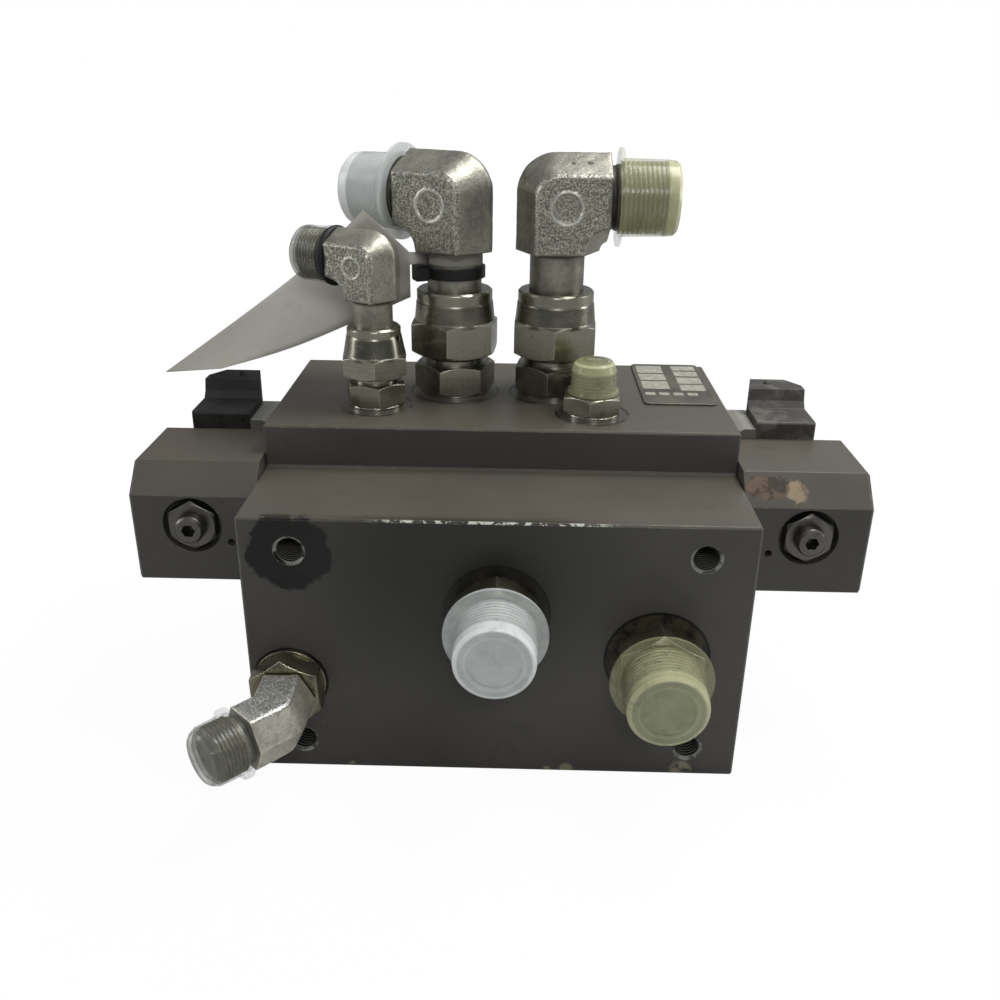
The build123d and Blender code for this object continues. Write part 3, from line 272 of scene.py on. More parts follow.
def metal(name, color, rough, axis=None, dirt=0.3, metallic=0.95, grime=(18, 17, 14), foot=None):
    """Turned or milled plated steel: fine lines round its axis, faint cloudy plating, dirt, and bright edges that are
    painted highlights.
    """
    s = Shade(name)
    patch = s.noise(70, 3, 0.5)
    fine = s.noise(1500, 3, 0.7)
    out = s.mix(s.step(patch, 0.35, 0.65), color, shaded(color, 1.3))
    out = s.mix(s.mul(s.step(s.noise(340, 5, 0.65), 0.58, 0.72), dirt), out, tone(*grime))
    height = s.mul(fine, 0.15)
    if axis is not None:
        squeeze = tuple(3000.0 if i == axis else 5.0 for i in range(3))
        rings = s.noise(1.0, 3, 0.6, squeeze)
        height = s.math("ADD", height, s.mul(rings, 0.9))
        out = s.mix(s.mul(s.step(rings, 0.40, 0.66), 0.35), out, shaded(color, 0.6))
    rim, soft = s.edge(0.6)
    # painted highlight: every sharp edge is drawn much lighter
    out = s.mix(s.mul(rim, 0.75), out, shaded(color, 2.4))
    if foot is not None:
        level = s.split(s.co)[2]
        out = s.mix(s.step(level, (foot + 1.0) * MM, (foot + 0.7) * MM), out, tone(214, 213, 204))
    normal = s.bump(height, 0.22, 0.05, soft)
    gloss = s.math("ADD", s.step(patch, 0.3, 0.7, rough - 0.04, rough + 0.08), s.mul(fine, 0.06))
    return s.finish(out, gloss, normal, metallic)


def forged_zinc(name, light=1.0):
    """Plated forging: gritty where it is flat, smoother round the bend, with raised ridges lighter from polish and
    painted highlight, and dark gaps that are painted shade.
    """
    s = Shade(name)
    marks = {}
    for key in ("skin", "ridge_polish_and_highlight", "gap"):
        marks[key] = s.add("ShaderNodeAttribute", attribute_name=key, attribute_type="GEOMETRY").outputs["Fac"]
    grit = s.noise(1250, 3, 0.7)
    coarse = s.noise(420, 3, 0.6)
    cloud = s.noise(45, 4, 0.55)
    dirt = s.step(s.noise(150, 5, 0.7), 0.56, 0.72)
    smooth = s.mix(s.step(cloud, 0.35, 0.65), shaded(tone(120, 118, 108), light), shaded(tone(158, 156, 144), light))
    smooth = s.mix(s.mul(s.step(coarse, 0.45, 0.65), 0.3), smooth, shaded(tone(96, 94, 84), light))
    gritty = s.mix(s.step(grit, 0.42, 0.62), shaded(tone(112, 111, 101), light), shaded(tone(184, 183, 172), light))
    gritty = s.mix(s.mul(s.step(coarse, 0.5, 0.66), 0.35), gritty, shaded(tone(92, 91, 82), light))
    out = s.mix(marks["skin"], smooth, gritty)
    out = s.mix(s.mul(dirt, 0.3), out, tone(60, 56, 44))
    # raised ring and border drawn near white: polish wear, with painted highlight along the border
    out = s.mix(s.mul(marks["ridge_polish_and_highlight"], 0.85), out, tone(232, 231, 222))
    # painted shade: two darker dots stand for two punched dimples
    for point in ((28.0, 21.5, 234.9), (35.1, 21.5, 235.6)):
        rel = s.vec("SUBTRACT", s.co, Vector(point) * MM).outputs[0]
        away = s.add("ShaderNodeVectorMath", {0: rel}, operation="LENGTH").outputs["Value"]
        out = s.mix(s.mul(s.step(away, 0.0019, 0.0009), 0.75), out, tone(40, 38, 32))
    # painted shade: gaps by the neck, the core under the cap and the stub under the body drawn near black
    out = s.mix(marks["gap"], out, tone(16, 15, 12))
    lift = s.math("ADD", s.mul(coarse, s.math("ADD", s.mul(marks["skin"], 1.3), 0.2)), s.mul(cloud, 0.2))
    lift = s.math("ADD", lift, s.mul(grit, marks["skin"], 0.5))
    normal = s.bump(lift, 0.8, 0.26)
    gloss = s.math("ADD", s.mul(marks["skin"], -0.02), 0.42)
    return s.finish(out, gloss, normal, s.math("SUBTRACT", 0.8, s.mul(marks["gap"], 0.6)))


def plastic(name, color, rough, grain=0.08, dust=0.3, dusty=None, holes=()):
    """Moulded plastic or rubber with dust and a fine grain."""
    s = Shade(name)
    patch = s.noise(120, 4, 0.6, warp=0.6)
    fine = s.noise(1800, 2)
    out = s.mix(s.mul(s.step(patch, 0.45, 0.7), dust), color, dusty or tuple(c * 2.2 + 0.01 for c in color[:3]) + (1.0,))
    rim, soft = s.edge(0.5)
    out = s.mix(s.mul(rim, 0.35), out, dusty or tuple(c * 2.0 + 0.02 for c in color[:3]) + (1.0,))
    # painted holes: a black disc of painted shade for each hole, in a lighter ring
    for point in holes:
        away = s.near(point, (1.3, 1.3, 1.3))
        out = s.mix(s.step(away, 1.3, 1.05), out, shaded(color, 2.6))
        out = s.mix(s.step(away, 1.0, 0.85), out, tone(6, 6, 6))
    normal = s.bump(s.math("ADD", fine, patch), grain, 0.05, soft)
    return s.finish(out, s.step(patch, 0.3, 0.7, rough, rough + 0.15), normal)


def cap_plastic(name, tint, alpha, lines, origin, line, thread_end, dirt, foot, end, end_r, pitch, disc):
    """Thin translucent cap: the thread shows through it as painted shade in its valleys and painted highlights on its
    crests; its rims and end band are denser.
    """
    s = Shade(name)
    away, along = s.off_line(origin, line)
    cloud = s.noise(110, 4, 0.6)
    grime = s.mul(s.step(s.noise(120, 5, 0.7, warp=0.6), 0.54, 0.66), dirt)
    specks = s.mul(s.step(s.noise(420, 4, 0.7), 0.60, 0.66), dirt, 1.4)
    past = s.step(along, (thread_end - 0.3) * MM, (thread_end + 0.5) * MM)
    flange = s.mul(s.step(along, (foot + 2.4) * MM, (foot + 1.8) * MM),
                   s.step(away, (end_r + 1.0) * MM, (end_r + 1.6) * MM))
    flat = s.step(along, (end - 1.5) * MM, (end - 1.2) * MM)
    face = s.mul(flat, s.step(away, 0.92 * end_r * MM, 0.86 * end_r * MM))
    ring = s.mul(face, s.step(away, 0.68 * end_r * MM, 0.71 * end_r * MM), s.step(away, 0.76 * end_r * MM, 0.73 * end_r * MM))
    band = s.mul(s.step(along, (end - 1.6) * MM, (end - 1.0) * MM), s.math("SUBTRACT", 1.0, face))
    wave = s.math("SINE", s.math("ADD", s.mul(along, 2 * math.pi / (pitch * MM)), s.mul(cloud, 1.2)))
    under = s.mul(s.math("SUBTRACT", 1.0, past), s.math("SUBTRACT", 1.0, flange))
    # painted shade in the thread's valleys and painted highlight on its crests
    thread_valley_shade = s.mul(s.step(wave, -0.1, 0.8), under)
    thread_crest_highlight = s.mul(s.step(wave, -0.7, -0.95), under, s.step(s.noise(90, 3, 0.6), 0.45, 0.6))
    out = s.mix(s.mul(past, 0.75 - lines), tint, shaded(tint, 1.35))
    out = s.mix(s.mul(thread_valley_shade, lines), out, tone(58, 56, 42))
    out = s.mix(s.mul(thread_crest_highlight, lines), out, shaded(tint, 1.6))
    out = s.mix(s.mul(face, 0.9), out, disc)
    out = s.mix(s.mul(ring, 0.4), out, shaded(tint, 1.5))
    out = s.mix(s.mul(band, 0.6), out, shaded(tint, 1.3))
    out = s.mix(s.mul(flange, 0.3), out, shaded(tint, 1.3))
    out = s.mix(s.mul(grime, 0.75), out, tone(60, 56, 38))
    out = s.mix(s.mul(specks, under), out, tone(20, 19, 14))
    cover = s.step(cloud, 0.3, 0.7, alpha - 0.08, alpha + 0.06)
    cover = s.math("ADD", cover, s.mul(past, 0.4 - 0.5 * lines), True)
    cover = s.math("ADD", cover, s.mul(thread_valley_shade, lines, 0.4), True)
    cover = s.math("SUBTRACT", cover, s.mul(flange, 0.12), True)
    cover = s.math("ADD", cover, s.mul(band, 0.25), True)
    cover = s.math("ADD", cover, s.mul(grime, 0.3), True)
    normal = s.bump(s.math("ADD", s.mul(cloud, 0.6), s.mul(wave, s.math("ADD", under, 0.0), 0.4)), 0.35, 0.12)
    return s.finish(out, s.step(cloud, 0.3, 0.7, 0.14, 0.24), normal, Alpha=cover)


def plate_print(name):
    """Dull plate with pale blank fields in two columns and a row of small ones."""
    s = Shade(name)
    x, y, _ = s.split(s.vec("SUBTRACT", s.co, Vector((80.0, 43.5, 0)) * MM).outputs[0])

    def inside(value, low, high):
        return s.mul(s.step(value, (low - 0.15) * MM, (low + 0.15) * MM), s.step(value, (high + 0.15) * MM, (high - 0.15) * MM))

    fields = []
    for x0, x1, spans in ((-14.5, -2.0, ((-10, 2), (4, 14), (16, 28))), (3.0, 14.5, ((-12, -3), (-1, 9), (11, 19), (21, 28)))):
        fields.append(s.mul(inside(x, x0, x1), any_of(s, [inside(y, a, b) for a, b in spans])))
    small = any_of(s, [inside(x, x0, x0 + 4.6) for x0 in (-14.5, -8.0, -1.5, 5.0)])
    fields.append(s.mul(small, inside(y, -19.5, -15.5)))
    mask = s.mul(any_of(s, fields), s.step(s.up, 0.6, 0.9))
    grain = s.noise(500, 3)
    wash = s.noise(60, 4, 0.6)
    base = s.mix(s.step(wash, 0.35, 0.65), tone(78, 75, 66), tone(104, 100, 88))
    pale = s.mix(s.step(grain, 0.4, 0.7), tone(176, 172, 155), tone(206, 203, 190))
    rim, soft = s.edge(0.4)
    out = s.mix(s.mul(mask, 0.92), base, pale)
    out = s.mix(s.mul(rim, 0.6), out, tone(190, 190, 180))
    return s.finish(out, s.step(wash, 0.3, 0.7, 0.3, 0.45), s.bump(s.math("ADD", grain, s.mul(mask, -1.0)), 0.1, 0.05, soft), 0.25)


def paper(name):
    """Off-white tag with soft folds, a little grime and painted shade towards its far end."""
    s = Shade(name)
    wash = s.noise(22, 4, 0.6)
    grime = s.step(s.noise(70, 5, 0.7, warp=0.8), 0.56, 0.72)
    fibre = s.noise(1600, 3)
    out = s.mix(s.step(wash, 0.3, 0.7), tone(200, 197, 188), tone(214, 212, 204))
    # painted shade: the tag drawn darker towards its far end, which faces down, away from the light
    far = s.step(s.split(s.co)[0], -0.075, -0.140)
    out = s.mix(s.mul(far, 0.75), out, tone(150, 145, 136))
    neck = s.step(s.split(s.co)[0], -0.0405, -0.036)
    out = s.mix(s.mul(neck, 0.7), out, tone(118, 116, 108))
    out = s.mix(s.mul(grime, 0.2), out, tone(150, 140, 122))
    folds = s.noise(30, 2, 0.5, (1.0, 2.5, 2.5), 1.0)
    normal = s.bump(s.math("ADD", s.mul(folds, 3.0), s.mul(fibre, 0.1)), 0.35, 0.6)
    return s.finish(out, 0.7, normal)


PAINT = tone(75, 73, 70)
DUST = tone(93, 88, 78)
CHIP = tone(150, 146, 128)

looks = {
    "valve_block": paint("block_paint", PAINT, DUST, CHIP, 1.0, block_stains),
    "pilot_cover_left": paint("left_cover_paint", PAINT, DUST, CHIP, 0.9),
    "pilot_cover_right": paint("right_cover_paint", PAINT, DUST, CHIP, 0.9, cover_stains),
    "pilot_housing_left": paint("left_housing_paint", tone(96, 94, 88), tone(150, 148, 140), CHIP, 0.6),
    "pilot_housing_right": paint("right_housing_paint", tone(112, 110, 104), tone(158, 156, 148), CHIP, 0.6),
    "connector_housing_left": plastic("left_connector_plastic", tone(30, 29, 27), 0.42, 0.1, 0.25,
                                      holes=((-126.0, 4.7, 127.1), (-116.3, 4.7, 125.8))),
    "connector_housing_right": plastic("right_connector_plastic", tone(66, 63, 59), 0.5, 0.14, 0.6, tone(120, 116, 108)),
    "nameplate": plate_print("plate_print"),
    "cable_tie": plastic("tie_plastic", tone(16, 16, 16), 0.35, 0.08, 0.15),
}
black_steel = metal("black_steel", tone(104, 102, 98), 0.34, None, 0.5)
ground_steel = metal("ground_steel", tone(170, 170, 168), 0.2, 0)
spring_steel = metal("spring_steel", tone(120, 120, 118), 0.3)
zinc_turned = metal("zinc_turned", tone(148, 146, 133), 0.21, 2, 0.3, foot=TOP_Z)
zinc_front = metal("zinc_front", tone(140, 136, 116), 0.26, 1, 0.75, grime=(34, 30, 18))
zinc_nut = metal("zinc_nut", tone(154, 152, 138), 0.22, 2, 0.3)
forging = forged_zinc("forging", 1.4)
thread_steel = metal("thread_steel", tone(150, 148, 134), 0.26, None, 0.4)
rubber = plastic("rubber", tone(14, 14, 13), 0.5, 0.06, 0.1)
contacts = metal("contacts", tone(190, 170, 120), 0.3)
tag_paper = paper("tag_paper")


def look_for(node):
    """Shared finishes, picked by what the node is."""
    for words, finish in ((("screw", "lock_nut_l", "lock_nut_r", "plugs"), black_steel),
                          (("seal", "ring_left", "outlet_ring"), rubber),
                          (("spring_seat", "spool", "armature"), ground_steel),
                          (("spring", "wire"), spring_steel), (("pins",), contacts),
                          (("swivel_nut",), zinc_nut), (("front_", "angle_"), zinc_front),
                          (("elbow",), forging), (("tag",), tag_paper)):
        if any(word in node for word in words):
            return finish
    return zinc_turned


def direction(turn):
    """Level direction of an outlet."""
    return Vector((math.cos(math.radians(turn)), math.sin(math.radians(turn)), 0))


ANGLE_TURN = math.radians(1.5)
ANGLE_DIR = Vector((-math.cos(ANGLE_TURN), -1.0, -math.sin(ANGLE_TURN))).normalized()
ANGLE_BEND = Vector((FRONT_LEFT[0], PORT_FACE_Y - 28.7, FRONT_LEFT[1]))
MILKY = tone(222, 227, 224)
GREENISH = tone(196, 196, 156)
GREY_CLEAR = tone(132, 132, 122)
CAPS = {
    "mid_outlet_cap": (MILKY, 0.76, 0.07, Vector((*MID, LARGE_AXIS_Z)), direction(MID_TURN), 45.0, 0.03, 25.0, 50.5,
                       15.4, 2.0, tone(206, 210, 208)),
    "right_outlet_cap": (GREENISH, 0.36, 0.12, Vector((*RIGHT, LARGE_AXIS_Z)), direction(0), 45.0, 0.25, 25.0, 50.5,
                         15.4, 2.0, tone(150, 150, 120)),
    "small_outlet_cap": (GREY_CLEAR, 0.22, 0.25, Vector((*SMALL, SMALL_AXIS_Z)), direction(SMALL_TURN), 32.0, 0.2,
                         20.3, 35.3, 11.2, 1.5, tone(120, 118, 110)),
    "front_mid_cap": (MILKY, 0.56, 0.42, Vector((FRONT_MID[0], PORT_FACE_Y, FRONT_MID[1])), Vector((0, -1, 0)), 31.8,
                      0.25, 15.7, 36.3, 15.4, 2.0, tone(222, 228, 224)),
    "front_right_cap": (GREENISH, 0.40, 0.55, Vector((FRONT_RIGHT[0], PORT_FACE_Y, FRONT_RIGHT[1])),
                        Vector((0, -1, 0)), 31.8, 0.5, 15.7, 36.3, 15.4, 2.0, tone(188, 194, 162)),
    "test_port_cap": (GREENISH, 0.42, 0.35, Vector((*TEST, TOP_Z)), Vector((0, 0, 1)), 19.3, 0.4, 10.0, 23.9, 8.7, 1.5,
                      tone(160, 160, 122)),
    "angle_outlet_cap": (GREY_CLEAR, 0.28, 0.5, ANGLE_BEND, ANGLE_DIR, 27.6, 0.3, 16.5, 31.4, 10.6, 1.5,
                         tone(120, 122, 108)),
}
for cap, look in CAPS.items():
    looks[cap] = cap_plastic(cap + "_plastic", *look)

for node, obj in nodes.items():
    finish = looks.get(node) or look_for(node)
    for index in range(len(obj.material_slots)):
        obj.material_slots[index].material = finish


def show(name, mesh, material, body, node):
    """Adds a finished piece that stands for a CAD node."""
    obj = bpy.data.objects.new(name, mesh)
    scene.collection.objects.link(obj)
    mesh.materials.clear()
    mesh.materials.append(material)
    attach(obj, body)
    if node:
        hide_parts(node)
    return obj


def axes(origin, along, across=None):
    """Matrix with Z along a direction and X near another."""
    z = Vector(along).normalized()
    x = Vector(across or ((1, 0, 0) if abs(z.z) > 0.9 else (0, 0, 1)))
    x = (x - z * x.dot(z)).normalized()
    turn = Matrix((x, z.cross(x), z)).transposed()
    return Matrix.Translation(origin) @ turn.to_4x4()


def local(mesh, place):
    """Vertices of a mesh in millimetres in a local frame."""
    points = np.empty(len(mesh.vertices) * 3)
    mesh.vertices.foreach_get("co", points)
    points = points.reshape(-1, 3) / MM
    back = np.array(place.inverted())
    return points @ back[:3, :3].T + back[:3, 3]


def put_back(mesh, points, place):
    """Writes local millimetre points back to a mesh."""
    out = np.array(place)
    world = (points @ out[:3, :3].T + out[:3, 3]) * MM
    mesh.vertices.foreach_set("co", world.ravel())
    mesh.update()


def slimmed(node, place, low, high, core_r):
    """Copy of a node's mesh with its male thread turned down to the core."""
    mesh = nodes[node].data.copy()
    points = local(mesh, place)
    radius = np.hypot(points[:, 0], points[:, 1])
    hit = (points[:, 2] > low - 0.05) & (points[:, 2] < high + 0.05) & (radius > core_r)
    points[hit, :2] *= (core_r / radius[hit])[:, None]
    put_back(mesh, points, place)
    return mesh


def thread_ridge(name, place, low, high, crest_r, pitch, material, body, slot, steps=40):
    """Closed helical ridge about the local Z axis, run out at both ends."""
    depth = 0.61 * pitch
    root_r = crest_r - depth - 0.12
    low += pitch * 0.5
    high -= pitch * 0.5
    count = int((high - low) / pitch * steps)
    bm = bmesh.new()
    rows = []
    for i in range(count + 1):
        turn = 2 * math.pi * i / steps
        z = low + pitch * i / steps
        fade = min(1.0, (i + 1) / (steps * 0.4), (count - i + 1) / (steps * 0.4))
        top_r = root_r + 0.1 + (crest_r - root_r - 0.1) * fade
        row = [(root_r, -0.47), (top_r, -0.10), (top_r, 0.10), (root_r, 0.47)]
        rows.append([bm.verts.new(place @ Vector((r * math.cos(turn), r * math.sin(turn), z + dz * pitch)) * MM)
                     for r, dz in row])
    for a, b in zip(rows, rows[1:]):
        for k in range(4):
            m = (k + 1) % 4
            bm.faces.new((a[k], a[m], b[m], b[k]))
    bm.faces.new(rows[0])
    bm.faces.new(rows[-1][::-1])
    bmesh.ops.recalc_face_normals(bm, faces=bm.faces)
    mesh = bpy.data.meshes.new(name)
    bm.to_mesh(mesh)
    bm.free()
    return show(name, mesh, material, body, None)


def remeshed(mesh, voxel):
    """The mesh rebuilt in small even faces."""
    obj = bpy.data.objects.new("rough", mesh)
    scene.collection.objects.link(obj)
    even = obj.modifiers.new("even", "REMESH")
    even.mode = "VOXEL"
    even.voxel_size = voxel * MM
    seen = obj.evaluated_get(bpy.context.evaluated_depsgraph_get())
    out = bpy.data.meshes.new_from_object(seen)
    bpy.data.objects.remove(obj)
    return out


def smoothed(points, edges, weight, rounds):
    """Pulls each point towards the middle of its neighbours."""
    count = len(points)
    a, b = edges[:, 0], edges[:, 1]
    degree = np.bincount(np.concatenate((a, b)), minlength=count).astype(float)
    for _ in range(rounds):
        mean = np.empty_like(points)
        for k in range(3):
            total = np.bincount(a, points[b, k], count) + np.bincount(b, points[a, k], count)
            mean[:, k] = total / np.maximum(degree, 1)
        points = points + (mean - points) * (0.6 * weight)[:, None]
    return points


def forged(name, mesh, place, cuts, disc, voxel, body, node, flat_axis, flat_at, flat_r, out, finish=None):
    """Forging with soft edges, gritty flats with a raised border and a blank disc, and marks for its finish, with
    painted highlight on the border and painted shade in the gaps and under the body.
    """
    mesh = remeshed(mesh, voxel)
    points = local(mesh, place)
    weight = np.ones(len(points))
    for way, limit in cuts:
        inside = limit - points @ np.array(way)
        weight = np.minimum(weight, np.clip((inside - 0.2) / 1.2, 0, 1))
    edges = np.empty(len(mesh.edges) * 2, dtype=np.int32)
    mesh.edges.foreach_get("vertices", edges)
    points = smoothed(points, edges.reshape(-1, 2), weight, 16)
    put_back(mesh, points, place)
    normals = np.empty(len(points) * 3)
    mesh.vertex_normals.foreach_get("vector", normals)
    turn = np.array(place)[:3, :3]
    normals = normals.reshape(-1, 3) @ turn
    skin = np.clip((np.abs(points[:, flat_axis]) - flat_at + 1.6) / 0.8, 0, 1) * weight
    skin = np.maximum(skin, 0.22 * weight)
    ridge_polish_and_highlight = np.zeros(len(points))
    grain = np.array([noise.noise(Vector(p) * 1.1) + 0.6 * noise.noise(Vector(p) * 2.2) for p in points])
    dents = np.array([noise.noise(Vector(p) * 0.22) for p in points])
    lift = (grain * (0.02 + 0.10 * skin) + dents * 0.12) * weight
    front = (points[:, flat_axis] < 0.8 - flat_at) if flat_axis == 1 else np.abs(points[:, 2]) > flat_at - 0.8
    if disc:
        (x, z), radius = disc
        side = 1 if x > 0 else -1
        across = np.where(points[:, 0] * side < 0, np.maximum(points[:, 2], 0), 0)
        reach = np.where(points[:, 0] * side < 0, np.hypot(points[:, 0], across), points[:, 2])
        border = np.exp(-((reach - flat_r + 0.9) / 0.55) ** 2) * front
        rho = np.hypot(points[:, 0] - x, points[:, 2] - z)
        ring = np.exp(-((rho - radius) / (0.10 * radius)) ** 2) * front
        dish = np.clip((radius - rho) / 1.2, 0, 1) * 0.25 * front
        lift = lift + ring * 0.55 + border * 0.32 - dish
        # the ring mark is polish wear, the border mark a painted highlight
        ridge_polish_and_highlight = np.maximum(ring, border * 0.6 * np.clip(0.6 + 1.5 * grain, 0, 1))
    points = points + normals * lift[:, None]
    put_back(mesh, points, place)
    mesh.polygons.foreach_set("use_smooth", np.ones(len(mesh.polygons), dtype=bool))
    axis, body_end, neck_end, stub_low, stub_high, core_r = out
    along = local(mesh, axis)
    radius = np.hypot(along[:, 0], along[:, 1])
    # painted shade: the gap between body and cap, the core beyond it and the top of the stub under the body
    gap = np.clip((along[:, 2] - body_end + 0.1) / 0.3, 0, 1) * np.clip((neck_end + 0.6 - along[:, 2]) / 0.3, 0, 1)
    gap = np.maximum(gap * 0.9, 0.55 * ((along[:, 2] > neck_end) & (radius < core_r + 0.1)))
    stub = np.clip((points[:, 2] - stub_low) / 1.2, 0, 1) * (points[:, 2] < stub_high)
    if flat_axis == 1:
        gap = np.maximum(gap, stub * 0.85 * (np.hypot(points[:, 0], points[:, 1]) < core_r + 0.6))
    for key, values in (("skin", skin), ("ridge_polish_and_highlight", ridge_polish_and_highlight), ("gap", gap)):
        mark = mesh.attributes.new(key, "FLOAT", "POINT")
        mark.data.foreach_set("value", values.astype(np.float32))
    return show(name, mesh, finish or forging, body, node)


def elbow_place(xy, axis_z, turn):
    """Frame at an elbow's bend: X along the outlet, Z up."""
    return Matrix.Translation((*xy, axis_z)) @ Matrix.Rotation(math.radians(turn), 4, "Z")


for node, xy, axis_z, turn, pitch, crest_r, span, bottom, end, disc, voxel, flat in (
        ("mid_elbow", MID, LARGE_AXIS_Z, MID_TURN, 2.0, 15.0, (24.0, 45.0), -22.6, 21.5, ((3.0, -3.0), 6.6), 0.5,
         (16.5, 10.4)),
        ("right_elbow", RIGHT, LARGE_AXIS_Z, 0.0, 2.0, 15.0, (24.0, 45.0), -22.6, 21.5, ((3.0, -3.0), 6.6), 0.5,
         (16.5, 10.4)),
        ("small_elbow", SMALL, SMALL_AXIS_Z, SMALL_TURN, 1.5, 11.0, (20.0, 32.0), -16.1, 16.3, ((2.4, -2.4), 4.3), 0.4,
         (11.0, 6.9))):
    out = axes((*xy, axis_z), direction(turn))
    core_r = crest_r - 0.61 * pitch
    core = slimmed(node, out, *span, core_r)
    place = elbow_place(xy, axis_z, turn)
    cuts = [((0, 0, -1), -bottom), ((1, 0, 0), end)]
    if turn:
        place = place @ Matrix.Rotation(math.pi, 4, "Z")
        disc = ((-disc[0][0], disc[0][1]), disc[1])
        cuts = [((0, 0, -1), -bottom), ((-1, 0, 0), end)]
    forged(node + "_forging", core, place, cuts, disc, voxel, node, node, 1, *flat,
           (out, end, span[0], bottom - 2.2, bottom, core_r))
    thread_ridge(node + "_thread", out, *span, crest_r, pitch, thread_steel, node, "zinc_steel")

out = axes(ANGLE_BEND, ANGLE_DIR)
core_r = 11.0 - 0.61 * 1.5
core = slimmed("angle_elbow", out, 15.6, 27.6, core_r)
cuts = [((0, 1, 0), 16.3), (tuple(ANGLE_DIR), 13.5)]
# painted light: the angle elbow's forging is the same finish drawn nearly twice as light
forged("angle_elbow_forging", core, Matrix.Translation(ANGLE_BEND), cuts, None, 0.4, "angle_elbow", "angle_elbow",
       2, 11.0, 6.9, (out, 13.5, 15.6, 0, 0, core_r), forged_zinc("painted_light_forging", 2.7))
thread_ridge("angle_elbow_thread", out, 15.6, 27.6, 11.0, 1.5, thread_steel, "angle_elbow", "zinc_steel")

for node, origin, along, span, crest_r, pitch, finish in (
        ("front_mid_coupling", (FRONT_MID[0], PORT_FACE_Y, FRONT_MID[1]), (0, -1, 0), (17.3, 31.8), 15.0, 2.0, zinc_front),
        ("front_right_coupling", (FRONT_RIGHT[0], PORT_FACE_Y, FRONT_RIGHT[1]), (0, -1, 0), (17.3, 31.8), 15.0, 2.0, zinc_front),
        ("test_coupling", (*TEST, TOP_Z), (0, 0, 1), (11.3, 19.3), 9.0, 1.5, zinc_turned)):
    place = axes(origin, along)
    show(node + "_body", slimmed(node, place, *span, crest_r - 0.61 * pitch), finish, "block", node)
    thread_ridge(node + "_thread", place, *span, crest_r, pitch, thread_steel, "block", "zinc_steel")


def spline(points, t):
    """Smooth curve through points at t from 0 to len - 1."""
    i = min(int(t), len(points) - 2)
    f = t - i
    p0, p1, p2, p3 = (points[max(0, min(len(points) - 1, i + k))] for k in (-1, 0, 1, 2))
    return 0.5 * ((2 * p1) + (p2 - p0) * f + (2 * p0 - 5 * p1 + 4 * p2 - p3) * f * f
                  + (3 * p1 - p0 - 3 * p2 + p3) * f ** 3)


def tag_sheet():
    """Twisted paper tag, from its loop round the elbow's stub to its far corner."""
    upper = [Vector(p) for p in ((-34.2, 24.3, 198.2), (-41.5, 21.3, 198.3), (-61.0, 22.5, 215.5), (-99.3, 46.6, 181.2),
                                 (-167.4, 56.0, 131.9))]
    lower = [Vector(p) for p in ((-34.2, 24.3, 193.0), (-41.5, 21.3, 192.9), (-42.6, 31.5, 176.5), (-94.0, 31.0, 153.8),
                                 (-130.8, 27.5, 142.7))]
    bm = bmesh.new()
    rows = []
    length, across = 0.0, 10
    steps = 60
    loop = []
    for k in range(30):
        turn = math.radians(202 - 12.0 * (30 - k))
        x, y = MID[0] + 12.45 * math.cos(turn), MID[1] + 12.45 * math.sin(turn)
        loop.append((Vector((x, y, 198.1)), Vector((x, y, 193.1))))
    straight = [(upper[0].lerp(upper[1], f), lower[0].lerp(lower[1], f)) for f in (0.0, 0.5)]
    fold = [(upper[1].lerp(upper[2], f), lower[1].lerp(lower[2], f)) for f in np.linspace(0, 0.97, 14)]
    wide = [(spline(upper[2:], 2.0 * i / steps), spline(lower[2:], 2.0 * i / steps)) for i in range(steps + 1)]
    spans = loop + straight + fold + wide
    for top, low in spans:
        rows.append([bm.verts.new(low.lerp(top, j / across) * MM) for j in range(across + 1)])
    for a, b in zip(rows, rows[1:]):
        for j in range(across):
            bm.faces.new((a[j], a[j + 1], b[j + 1], b[j]))
    bmesh.ops.recalc_face_normals(bm, faces=bm.faces)
    area = sum(f.calc_area() for f in bm.faces)
    length = sum(((a[0] + a[1]) / 2 - (b[0] + b[1]) / 2).length for a, b in zip(spans, spans[1:])) * MM
    mesh = bpy.data.meshes.new("tag_sheet")
    bm.to_mesh(mesh)
    bm.free()
    mesh.polygons.foreach_set("use_smooth", np.ones(len(mesh.polygons), dtype=bool))
    obj = show("tag_sheet", mesh, tag_paper, "tag", "paper_tag")
    thick = obj.modifiers.new("thick", "SOLIDIFY")
    thick.thickness = 0.2 * MM
    thick.offset = 0
    return area, length


print("tag", tag_sheet())

# Camera
camera = bpy.data.cameras.new("camera")
camera.lens = 35.55
camera.sensor_width = 36.0
eye = bpy.data.objects.new("camera", camera)
scene.collection.objects.link(eye)
eye.location = Vector((6.04, -411.97, 273.91)) * MM
yaw, pitch, roll = (math.radians(a) for a in (-0.910, 23.910, 0.787))
base = Matrix(((1, 0, 0), (0, 0, -1), (0, 1, 0)))
spin = Matrix(((math.cos(yaw), -math.sin(yaw), 0), (math.sin(yaw), math.cos(yaw), 0), (0, 0, 1)))
tilt = Matrix(((1, 0, 0), (0, math.cos(pitch), -math.sin(pitch)), (0, math.sin(pitch), math.cos(pitch))))
lean = Matrix(((math.cos(roll), -math.sin(roll), 0), (math.sin(roll), math.cos(roll), 0), (0, 0, 1)))
to_camera = lean @ tilt @ base @ spin
right, down, ahead = to_camera
eye.rotation_mode = "QUATERNION"
eye.rotation_quaternion = Matrix((right, -down, -ahead)).transposed().to_quaternion()
scene.camera = eye


def area_light(name, place, target, size, power, color=(1, 1, 1)):
    """Soft square light."""
    data = bpy.data.lights.new(name, "AREA")
    data.shape = "RECTANGLE"
    data.size, data.size_y = size
    data.energy = power
    data.color = color
    obj = bpy.data.objects.new(name, data)
    scene.collection.objects.link(obj)
    obj.location = place
    obj.rotation_mode = "QUATERNION"
    obj.rotation_quaternion = (Vector(target) - Vector(place)).to_track_quat("-Z", "Y")


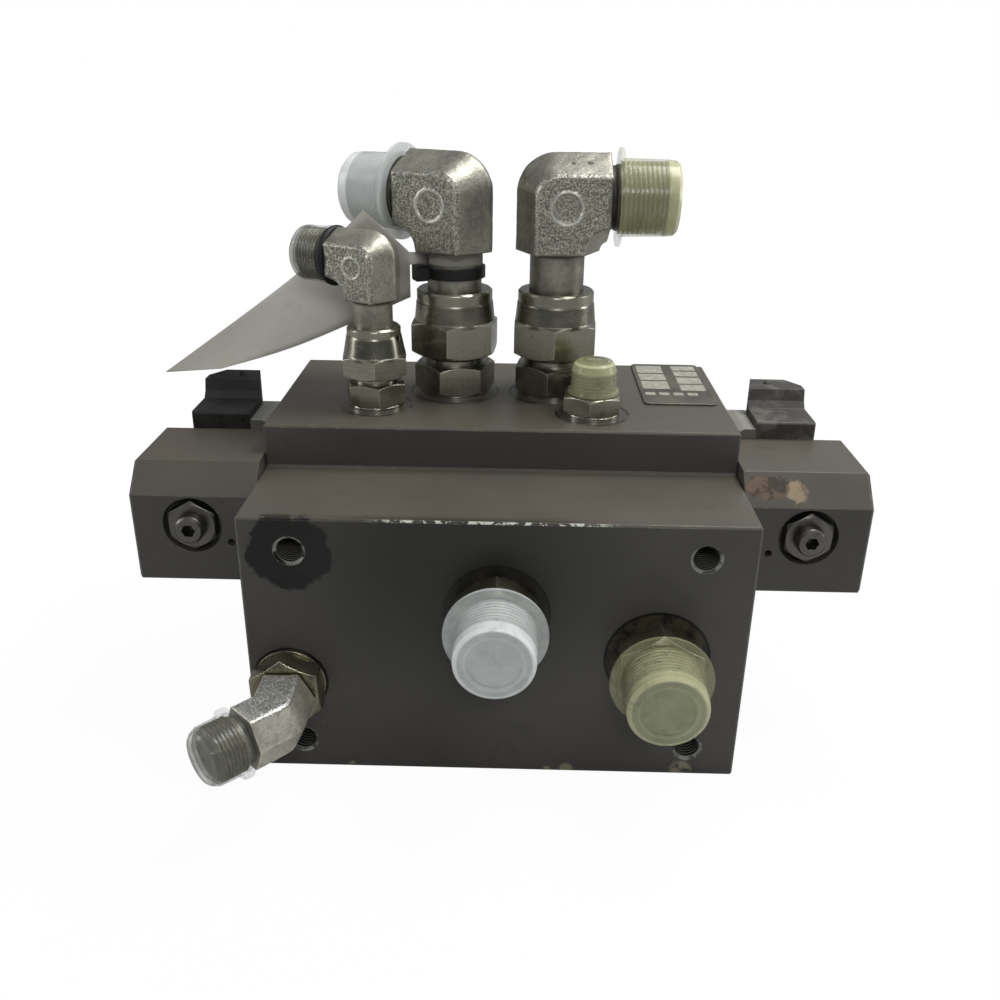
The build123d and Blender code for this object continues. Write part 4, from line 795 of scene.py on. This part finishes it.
area_light("overhead", (0.34, 0.14, 0.93), (0, 0.02, 0.1), (0.5, 0.35), 5.4)
area_light("side_right", (0.95, 0.1, 0.5), (0, 0, 0.12), (0.22, 0.7), 2.5)
area_light("side_left", (-0.95, -0.1, 0.5), (0, 0, 0.12), (0.22, 0.7), 2.2)
area_light("front_fill", (0.1, -1.0, 0.75), (0, 0, 0.1), (0.3, 0.2), 2.4)

world = bpy.data.worlds.new("world")
scene.world = world
world.use_nodes = True
sky = Shade("world", world)
ray = sky.add("ShaderNodeLightPath").outputs["Is Camera Ray"]
way = sky.add("ShaderNodeTexCoord").outputs["Generated"]
high = sky.step(sky.split(way)[2], 0.0, 0.9, 0.07, 0.40)
window = sky.step(sky.vec("DOT_PRODUCT", way, (0.42, 0.80, 0.42)).outputs["Value"], 0.72, 0.97, 0.0, 0.26)
room = sky.add("ShaderNodeBackground", {"Color": (0.8, 0.82, 0.85, 1), "Strength": sky.math("ADD", high, window)})
plain = sky.add("ShaderNodeBackground", {"Color": (1, 1, 1, 1), "Strength": 1.0})
pick = sky.add("ShaderNodeMixShader", {0: ray, 1: room.outputs[0], 2: plain.outputs[0]})
sky.add("ShaderNodeOutputWorld", {"Surface": pick.outputs[0]})

# Floor: pale, and white to the camera apart from the shadow near the block
bm = bmesh.new()
bmesh.ops.create_grid(bm, x_segments=1, y_segments=1, size=6.0)
mesh = bpy.data.meshes.new("floor")
bm.to_mesh(mesh)
bm.free()
floor = bpy.data.objects.new("floor", mesh)
scene.collection.objects.link(floor)
pale = Shade("floor")
matt = pale.add("ShaderNodeBsdfDiffuse", {"Color": (0.55, 0.55, 0.54, 1)})
glow = pale.add("ShaderNodeEmission", {"Strength": 1.03})
ray = pale.add("ShaderNodeLightPath").outputs["Is Camera Ray"]
away = pale.add("ShaderNodeVectorMath", {0: pale.co}, operation="LENGTH").outputs["Value"]
share = pale.mul(ray, pale.step(away, 0.2, 0.42, 0.94, 1.0))
both = pale.add("ShaderNodeMixShader", {0: share, 1: matt.outputs[0], 2: glow.outputs[0]})
pale.add("ShaderNodeOutputMaterial", {"Surface": both.outputs[0]})
mesh.materials.append(pale.mat)

scene.view_settings.view_transform = "Standard"
